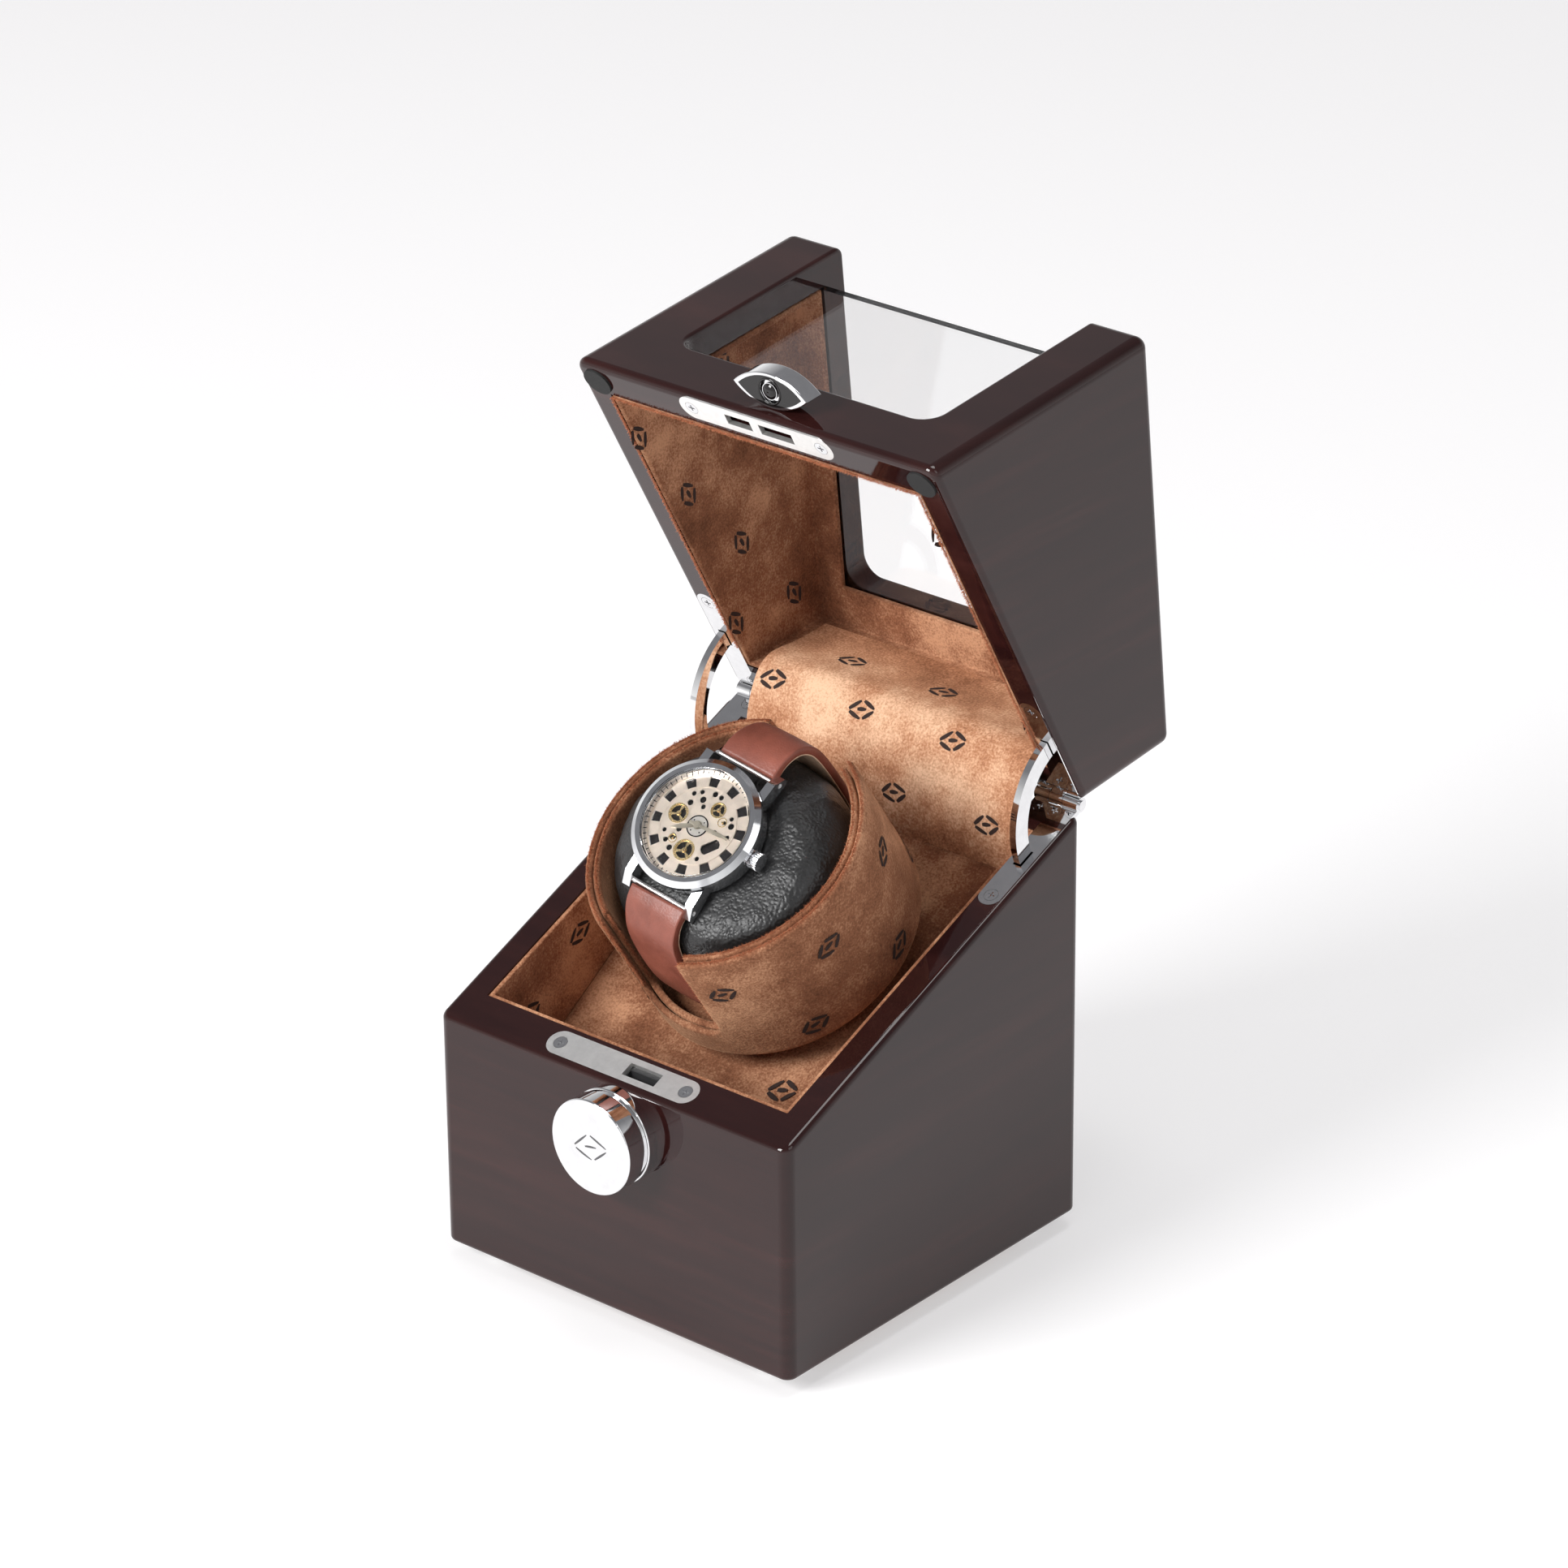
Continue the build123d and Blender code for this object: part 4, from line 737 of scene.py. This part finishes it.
def band_section(half, thick, crown, low=0.0):
    """A leather band's section: rounded sides, a slightly crowned top and a flat back."""
    round_off = 0.25
    side = [
        (half + round_off * math.cos(a) - round_off, low + thick / 2 * math.sin(a))
        for a in (-1.4, -0.8, 0, 0.8, 1.4)
    ]
    top = [(half * x, low + thick / 2 + crown * (1 - x * x)) for x in (0.93, 0.8, 0.5, 0, -0.5, -0.8, -0.93)]
    mirrored = [(-x, z) for x, z in reversed(side)]
    under = [(half * x, low - thick / 2) for x in (-0.9, -0.5, 0, 0.5, 0.9)]
    return side + top + mirrored + under


STRAP_ROUTES = {
    "upper": [
        (18.6, 12.5), (24.5, 13.6), (32.0, 10.2), (35.4, 2.0), (35.4, -32.8), (27.4, -40.6), (1.0, -40.8)
    ],
    "lower": [
        (-25.2, 4.8), (-30.6, 2.6), (-35.2, -5.5), (-35.4, -32.8), (-27.4, -40.6), (-1.0, -40.8)
    ],
}
STRAP_HALF, STRAP_THICK, STRAP_CROWN = 9.75, 2.3, 0.28
PADDING, PADDED_SHARE, TWISTED_SHARE = 0.9, 0.05, 0.16
LINING_HALF, LINING_THICK, LINING_LOW = 9.6, 0.45, -1.32
WATCH_SIDE = (DRUM_M.inverted() @ WATCH_M).to_3x3() @ Vector((1, 0, 0))
DRUM_TURNED = DRUM_M.to_3x3()


def strap_side(t):
    """The band's width direction, from the watch's lugs to the drum's own."""
    share = max(0.0, 1 - t / TWISTED_SHARE)
    flat = Vector((1, 0, 0)).lerp(WATCH_SIDE, share * share * (3 - 2 * share))
    return (DRUM_TURNED @ flat).normalized()


def leather_section(t):
    """The outer leather, padded where it leaves the lugs."""
    thick = STRAP_THICK + PADDING * math.exp(-((t / PADDED_SHARE) ** 2))
    return band_section(STRAP_HALF, thick, STRAP_CROWN)


def lining_section(_):
    """The pale lining under the leather."""
    return band_section(LINING_HALF, LINING_THICK, 0.0, LINING_LOW)


for which, route in STRAP_ROUTES.items():
    path = rounded([DRUM_M @ (Vector((0, y, z)) * MM) for y, z in route])
    outward = 1 if which == "upper" else -1
    stands_for = ("watch_strap",) if which == "upper" else ()

    def across(t, sign=outward):
        return strap_side(t) * sign

    band = sweep("strap_" + which, path, across, leather_section)
    dress(band, STRAP, "drum", stands_for)
    lining = sweep("strap_lining_" + which, path, across, lining_section)
    dress(lining, STRAP_EDGE, "drum")

# ------------------------------------------------------------------ the watch's dial
DIAL_LOW, DIAL_HIGH = -3.6, -3.2
DIAL_RIM = 16.5
CHAPTER_HIGH, STEP_HIGH = DIAL_HIGH + 0.35, DIAL_HIGH + 0.14
WHEELS = [(-7.6, 0.4, 3.2), (2.8, 6.6, 2.5), (0.6, -7.9, 3.4)]


def plate_piece(name, outlines, low, high, material, stands_for=()):
    """A flat piece of the dial, at heights measured from the top of the bezel."""
    o = flat_plate(name, outlines, low, high, WATCH_M)
    return dress(o, material, "drum", stands_for)


def sector(r_low, r_high, centre, half, x=0.0, y=0.0, steps=6):
    """A ring sector as a closed outline, in mm and radians."""
    up = [centre - half + 2 * half * i / steps for i in range(steps + 1)]
    out = [(x + r_high * math.cos(a), y + r_high * math.sin(a)) for a in up]
    return out + [(x + r_low * math.cos(a), y + r_low * math.sin(a)) for a in reversed(up)]


def clear_of(x, y, r, others, gap=0.35):
    """True if a circle stays off the circles already there."""
    return all(math.hypot(x - ox, y - oy) > r + orr + gap for ox, oy, orr in others)


windows = [sector(11.95, 14.85, math.radians(15 + 30 * k), 0.11) for k in range(12)]
centre_disc = (0.0, -0.2, 3.3)
taken = [centre_disc, (7.2, -3.6, 3.0)] + WHEELS
holes = [circle(x, y, r - 0.15, 28) for x, y, r in WHEELS]
slot_shape = [
    (-2.9, -0.6), (-2.3, -1.5), (2.3, -1.5), (2.9, -0.6), (2.9, 0.6), (2.3, 1.5), (-2.3, 1.5), (-2.9, 0.6)
]
holes.append(turned(slot_shape, math.radians(52), 7.2, -3.6))
random.seed(11)
for ring_r, count, size in ((5.7, 10, 0.75), (7.8, 13, 0.85), (10.1, 19, 0.8)):
    for k in range(count):
        a = 2 * math.pi * (k + 0.35 * random.random()) / count
        r = size * random.uniform(0.75, 1.25)
        x, y = ring_r * math.cos(a), ring_r * math.sin(a)
        if clear_of(x, y, r, taken, 0.22) and ring_r + r < 11.35:
            taken.append((x, y, r))
            holes.append(circle(x, y, r, 14))
for a, half in ((1.75, 0.2), (2.55, 0.18), (-0.25, 0.2), (-2.35, 0.22)):
    x, y = 8.3 * math.cos(a), 8.3 * math.sin(a)
    if clear_of(x, y, 1.3, taken, 0.1):
        holes.append(sector(7.3, 9.2, a, half))
dial_edge = circle(0, 0, DIAL_RIM, 96)
plate_piece(
    "dial_plate", [dial_edge] + windows + holes, DIAL_LOW, DIAL_HIGH, ROSE, ("watch_dial",)
)
plate_piece("dial_chapter", [dial_edge, circle(0, 0, 15.3, 96)], DIAL_HIGH, CHAPTER_HIGH, ROSE)
plate_piece("dial_step", [circle(0, 0, 11.9, 96), circle(0, 0, 11.5, 96)], DIAL_HIGH, STEP_HIGH, ROSE)
plate_piece("dial_shadow", [circle(0, 0, 15.2, 64), circle(0, 0, 11.8, 64)], -3.75, -3.66, DARK_METAL)
plate_piece("dial_shade", [circle(0, 0, 11.4, 64), circle(0, 0, 0.6, 16)], -4.25, -4.2, DARK_METAL)
WHEEL_LOW, WHEEL_HIGH = -3.95, -3.3
wheel_parts = []
for x, y, r in WHEELS + [(6.1, 4.1, 1.5), (-4.6, -6.6, 1.4)]:
    gaps = [sector(r * 0.24, r * 0.72, math.radians(30 + 120 * k), 0.82, x, y) for k in range(3)]
    disc = circle(x, y, r * 0.94, 40)
    band_edges = [circle(x, y, r * 0.96, 40), circle(x, y, r * 0.8, 40)]
    wheel_parts.append(flat_plate("wheel", [disc] + gaps, WHEEL_LOW, WHEEL_HIGH, WATCH_M))
    wheel_parts.append(flat_plate("rim", band_edges, WHEEL_HIGH, -3.05, WATCH_M))
    wheel_parts.append(flat_plate("hub", [circle(x, y, r * 0.17, 16)], WHEEL_HIGH, -2.9, WATCH_M))
dress(joined("dial_wheels", wheel_parts), BRASS, "drum")
SUB_Y, SUB_HIGH, RIVET_HIGH, RIVET_AT = -0.2, -3.04, -2.99, 2.2
plate_piece("dial_sub", [circle(0, SUB_Y, 2.9, 48), circle(0, 0, 0.6, 16)], DIAL_HIGH, SUB_HIGH, PEARL)
sub_ring = [circle(0, SUB_Y, 3.3, 48), circle(0, SUB_Y, 2.95, 48)]
plate_piece("dial_sub_ring", sub_ring, DIAL_HIGH, -3.02, DARK_METAL)
rivet_shapes = [
    circle(RIVET_AT * math.cos(a), SUB_Y + RIVET_AT * math.sin(a), 0.22, 10) for a in (0.9, 2.6, 4.2, 5.6)
]
rivets = [flat_plate("rivet", [shape], SUB_HIGH, RIVET_HIGH, WATCH_M) for shape in rivet_shapes]
markers = [
    flat_plate("marker", [sector(15.35, 16.35, math.radians(6 * k), 0.008, steps=1)], -2.85, -2.8, WATCH_M)
    for k in range(60)
]
dress(joined("dial_rivets", rivets + markers), DARK_METAL, "drum")


def lathe(name, profile, matrix, count=96):
    """A ring turned about the Z axis of a matrix from (radius, height) points, in mm."""
    verts, faces = [], []
    for i in range(count):
        a = 2 * math.pi * i / count
        verts += [matrix @ (Vector((r * math.cos(a), r * math.sin(a), z)) * MM) for r, z in profile]
    n = len(profile)
    for i in range(count):
        k = (i + 1) % count
        for j in range(n):
            m = (j + 1) % n
            faces.append((i * n + j, k * n + j, k * n + m, i * n + m))
    o = from_data(name, verts, faces)
    smooth(o)
    return o


rehaut = lathe("dial_rehaut", [(16.55, -0.6), (16.55, -3.2), (15.9, -3.2), (16.3, -0.6)], WATCH_M)
dress(rehaut, STEEL, "drum")

# ------------------------------------------------------------------ printed ornament
DIAMOND = [
    [(-4.4, 0.2), (-2.4, 1.5), (-0.5, 2.7)],
    [(0.5, 2.7), (2.5, 1.4), (4.4, 0.1)],
    [(-4.2, -0.5), (-2.3, -1.8), (-0.3, -2.8)],
    [(0.6, -2.7), (2.6, -1.6), (4.3, -0.6)],
    [(-1.5, 0.1), (0.0, 0.2), (1.6, 0.0)],
]


def strokes(places, surface, width=1.3, size=1.0, steps=8):
    """Tapered ink strokes of the ornament laid on a surface, as vertices and faces."""
    verts, faces = [], []
    for u, v, angle in places:
        for stroke in DIAMOND:
            a, b, c = (Vector((x, y, 0)) * size for x, y in stroke)
            for i in range(steps + 1):
                t = i / steps
                p = a * (1 - t) ** 2 + b * 2 * t * (1 - t) + c * t * t
                d = (b - a).lerp(c - b, t).normalized()
                n = Vector((-d.y, d.x, 0))
                w = width * size / 2 * (0.35 + 0.65 * math.sin(math.pi * (0.15 + 0.8 * t)))
                for q in (p - n * w, p + n * w):
                    x, y = turned([(q.x, q.y)], angle)[0]
                    verts.append(surface(u + x, v + y))
                if i:
                    k = len(verts)
                    faces.append((k - 4, k - 3, k - 1, k - 2))
    return verts, faces


def printed(name, groups, body, material=None):
    """One piece holding all the ornaments of several (places, surface) groups."""
    verts, faces = [], []
    for places, surface in groups:
        v, f = strokes(places, surface)
        faces += [tuple(i + len(verts) for i in face) for face in f]
        verts += v
    o = from_data(name, verts, faces)
    return dress(o, material or VELVET_INK, body)


DRUM_R = 42.4


def drum_surface(u, v):
    """A place on the drum's outer wall: mm round it, and mm from its rim."""
    a = u / DRUM_R
    skin = DRUM_R + 0.22
    return BAY @ (Vector((skin * math.cos(a), skin * math.sin(a), v)) * MM)


def arc(degrees):
    """The length round the drum of an angle."""
    return math.radians(degrees) * DRUM_R


drum_places = [(arc(-63 + 45.5 * k), -14.5, 0.35) for k in (0, 1, 2, 4, 5, 6)]
drum_places += [(arc(-38 + 45.5 * k), -39.0, 0.3) for k in (0, 1, 2, 3, 4, 5, 6)]
printed("drum_print", [(drum_places, drum_surface)], "drum")

LINING_FACE = INNER_X - 1.5 - 0.08
wall_spots = ((-37, 87), (-11, 105), (14, 125.5), (40, 146), (-44, 124), (-14, 145), (38, 120))
wall_places = [(y, z, 0.5) for y, z in wall_spots]
printed(
    "lid_print",
    [
        (wall_places, lambda u, v: lid_point(-LINING_FACE, u, v)),
        (wall_places, lambda u, v: lid_point(LINING_FACE, u, v)),
    ],
    "lid",
)
floor_places = [(25, -20, 0.3), (-20, -28, 0.3), (46, 30, 0.3), (-46, 24, 0.3)]
well_places = [(-16, 83.5, 0.5), (12, 101, 0.4), (-38, 66, 0.5)]
printed(
    "well_print",
    [
        (well_places, lambda u, v: Vector((-LINING_FACE, u, v)) * MM),
        (well_places, lambda u, v: Vector((LINING_FACE, u, v)) * MM),
        (floor_places, lambda u, v: Vector((u, v, panel_z(v, 0.75))) * MM),
    ],
    "base",
)


def flap_surface(u, v):
    """A place on the hinge's sheet: mm from its middle, and mm from its seam."""
    return flap_place(0.5 + u / (2 * FLAP_HALF), v / (FLAP_LENGTH / MM), 0.1)


FLAP_MM = FLAP_LENGTH / MM
flap_places = [(x, 0.19 * FLAP_MM, 0.25) for x in (-28, 6, 40)]
flap_places += [(x, 0.50 * FLAP_MM, 0.25) for x in (-44, -11, 23)]
flap_places += [(x, 0.78 * FLAP_MM, 0.25) for x in (-28, 6, 40)]
flap_verts, flap_faces = strokes(flap_places, flap_surface)
flap_print = from_data("hinge_print", flap_verts, flap_faces)
flap_print.data.materials.append(VELVET_INK)
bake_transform(flap_print)

# ------------------------------------------------------------------ engraving and insert of the hardware
CAP_LO, CAP_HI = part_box("button_cap")
cap_x = (CAP_LO.x + CAP_HI.x) / 2 / MM
cap_z = (CAP_LO.z + CAP_HI.z) / 2 / MM
cap_y = CAP_LO.y / MM - 0.02
cap_verts, cap_faces = strokes(
    [(0, 0, 0.2)], lambda u, v: Vector((cap_x + u, cap_y, cap_z + v)) * MM, 0.5, 1.35
)
engraving = from_data("button_engraving", cap_verts, cap_faces)
dress(engraving, ENGRAVED, "button")

coil = cad_copy("button_spring", "button_coil")
smooth(coil)
dress(coil, STEEL, "base", ("button_spring",))
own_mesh(coil)

PULL_X, PULL_Z, PULL_LONG, PULL_DEEP = 3.5, 79.5, 26.5, 10.8


def lens(inset, count=24):
    """The outline of the pull's eye shape, drawn in by an inset, in mm."""
    half, bulge = PULL_LONG / 2 - inset * 2.2, PULL_DEEP / 2 - inset
    radius = (half * half + bulge * bulge) / (2 * bulge)
    reach = math.asin(half / radius)
    out = []
    for sign in (-1, 1):
        for i in range(count):
            a = -reach + 2 * reach * i / count
            out.append((sign * -radius * math.sin(a), sign * (radius * math.cos(a) - (radius - bulge))))
    return out


PULL_M = LID @ Matrix.Translation(Vector((PULL_X, -HALF - PULL_DEEP / 2, PULL_Z)) * MM)
insert = flat_plate("pull_insert", [lens(0.9), circle(0, 0, 4.15, 40)], -0.08, 0.05, PULL_M)
dress(insert, GLOSS_BLACK, "lid")
ring = lathe("pull_ring", [(4.2, -0.1), (4.2, 0.2), (3.5, 0.2), (3.6, -0.3), (3.9, -0.35)], PULL_M, 48)
dress(ring, GLOSS_BLACK, "lid")
bead_profile = [(0.02, -0.95), (0.9, -0.85), (1.7, -0.55), (2.3, -0.15), (2.5, 0.1), (0.02, 0.1)]
bead = lathe("pull_bead", bead_profile, PULL_M, 40)
dress(bead, GLOSS_BLACK, "lid")


# ------------------------------------------------------------------ pile along the velvet's edges
def fringe(name, lines, body, per_mm=26.0, length=1.15):
    """Fine fibres standing along edges; each line is a list of (place, outward) in metres."""
    verts, faces = [], []
    for line in lines:
        for (p, n), (q, k) in zip(line, line[1:]):
            for _ in range(max(1, int((q - p).length / MM * per_mm))):
                t = random.random()
                root = p.lerp(q, t) + Vector([random.gauss(0, 0.16) * MM for _ in range(3)])
                lean = Vector([random.gauss(0, 0.55) for _ in range(3)])
                way = (n.lerp(k, t).normalized() + lean).normalized()
                tip = root + way * length * MM * random.uniform(0.45, 1.15)
                side_a = way.orthogonal().normalized() * 0.08 * MM
                side_b = way.cross(side_a).normalized() * 0.08 * MM
                c = len(verts)
                verts += [root + side_a, root - side_a * 0.5 + side_b, root - side_a * 0.5 - side_b, tip]
                faces += [(c, c + 1, c + 3), (c + 1, c + 2, c + 3), (c + 2, c, c + 3)]
    o = from_data(name, verts, faces)
    dress(o, PILE, body)


def edge_line(points, outward):
    """Points along an edge, all with one outward direction."""
    return [(p, outward) for p in points]


MID_X = INNER_X - 0.6
RIM_UP = Vector((0, -math.sin(RIM_SLOPE), math.cos(RIM_SLOPE)))
front_y, rear_y = INNER_FRONT + 0.6, INNER_REAR - 8.0
EDGE_ROUTE = ((-MID_X, rear_y), (-MID_X, front_y), (MID_X, front_y), (MID_X, rear_y))
base_edge = [
    Vector((x, y, rim_z(y, -0.55))) * MM
    for x, y in EDGE_ROUTE
]
fringe("base_pile", [edge_line(base_edge, RIM_UP)], "base", length=0.45)
lid_edge = [lid_point(x, y, rim_z(y, 1.35)) for x, y in EDGE_ROUTE]
fringe("lid_pile", [edge_line(lid_edge, -(LID.to_3x3() @ RIM_UP))], "lid", length=0.8)

NOTCH_HALF = 16.0
NOTCH_FIRST, NOTCH_DROP, NOTCH_STEPS = 1.0, 32.0, 6
drum_lines = []
for radius in (41.4, 38.8):
    gap = math.asin(NOTCH_HALF / radius)
    for centre in (0.0, math.pi):
        arc_points = [centre - math.pi / 2 + gap + (math.pi - 2 * gap) * i / 40 for i in range(41)]
        line = [
            DRUM_M @ (Vector((radius * math.cos(a), radius * math.sin(a), -0.35)) * MM) for a in arc_points
        ]
        drum_lines.append(edge_line(line, DRUM_DIR))
        for end in (arc_points[0], arc_points[-1]):
            inward = 1 if end < centre else -1
            x, y = radius * math.cos(end), radius * math.sin(end)
            depths = [-NOTCH_FIRST - NOTCH_DROP * i / NOTCH_STEPS for i in range(NOTCH_STEPS + 1)]
            drop = [DRUM_M @ (Vector((x, y, depth)) * MM) for depth in depths]
            toward = DRUM_M.to_3x3() @ Vector((math.sin(end) * inward, -math.cos(end) * inward, 0))
            drum_lines.append(edge_line(drop, toward))
fringe("drum_pile", drum_lines, "drum")

# ------------------------------------------------------------------ scene: floor, lights, camera
floor = from_data(
    "floor", [(-40, -40, -0.005), (40, -40, -0.005), (40, 40, -0.005), (-40, 40, -0.005)], [(0, 1, 2, 3)]
)
floor_material, floor_shader = new_material("floor")[:2]
floor_shader.inputs["Base Color"].default_value = (0.6, 0.596, 0.597, 1)
floor_shader.inputs["Emission Color"].default_value = (1, 0.985, 0.99, 1)
floor_shader.inputs["Emission Strength"].default_value = 0.46
floor_shader.inputs["Roughness"].default_value = 0.6
floor_shader.inputs["Specular IOR Level"].default_value = 0.2
floor.data.materials.append(floor_material)

world = bpy.data.worlds.new("studio")
bpy.context.scene.world = world
world.use_nodes = True
tree = world.node_tree
back = tree.nodes["Background"]
where = tree.nodes.new("ShaderNodeTexCoord")
split = tree.nodes.new("ShaderNodeSeparateXYZ")
shade = tree.nodes.new("ShaderNodeValToRGB")
tree.links.new(where.outputs["Generated"], split.inputs["Vector"])
tree.links.new(split.outputs["Z"], shade.inputs["Fac"])
tree.links.new(shade.outputs["Color"], back.inputs["Color"])
shade.color_ramp.elements[0].position = 0.0
shade.color_ramp.elements[0].color = (1, 1, 1, 1)
shade.color_ramp.elements[1].position = 0.62
shade.color_ramp.elements[1].color = (0.21, 0.21, 0.22, 1)
back.inputs["Strength"].default_value = 1.05


def softbox(name, place, target, size, power):
    """A square area light aimed at a point."""
    light = bpy.data.lights.new(name, "AREA")
    light.shape = "RECTANGLE"
    light.size, light.size_y = size
    light.energy = power
    o = bpy.data.objects.new(name, light)
    bpy.context.scene.collection.objects.link(o)
    o.location = place
    o.rotation_euler = (Vector(target) - Vector(place)).to_track_quat("-Z", "Y").to_euler()
    return o


softbox("key", (-0.5, -1.6, 1.15), (0, 0, 0.14), (0.8, 0.8), 40)
softbox("fill", (1.3, -0.3, 1.2), (0, 0, 0.12), (0.8, 0.8), 3)
softbox("top", (0.1, 0.2, 1.7), (0, 0, 0.1), (0.7, 0.7), 8)

camera_data = bpy.data.cameras.new("camera")
camera = bpy.data.objects.new("camera", camera_data)
bpy.context.scene.collection.objects.link(camera)
YAW, ROLL = math.radians(40.54), math.radians(-0.573)
ahead = Vector((-0.5866, 0.6858, -0.4307)).normalized()
side = Vector((math.cos(YAW), math.sin(YAW), 0))
up = side.cross(ahead)
side_rolled = side * math.cos(ROLL) + up * math.sin(ROLL)
up_rolled = up * math.cos(ROLL) - side * math.sin(ROLL)
pose = Matrix((side_rolled, up_rolled, -ahead)).transposed().to_4x4()
pose.translation = Vector((1.1073, -1.2832, 0.9502))
camera.matrix_world = pose
camera_data.sensor_width = 36.0
camera_data.lens = 153.4
camera_data.clip_start = 0.05
camera_data.clip_end = 200.0
bpy.context.scene.camera = camera
bpy.context.scene.view_settings.view_transform = "Standard"
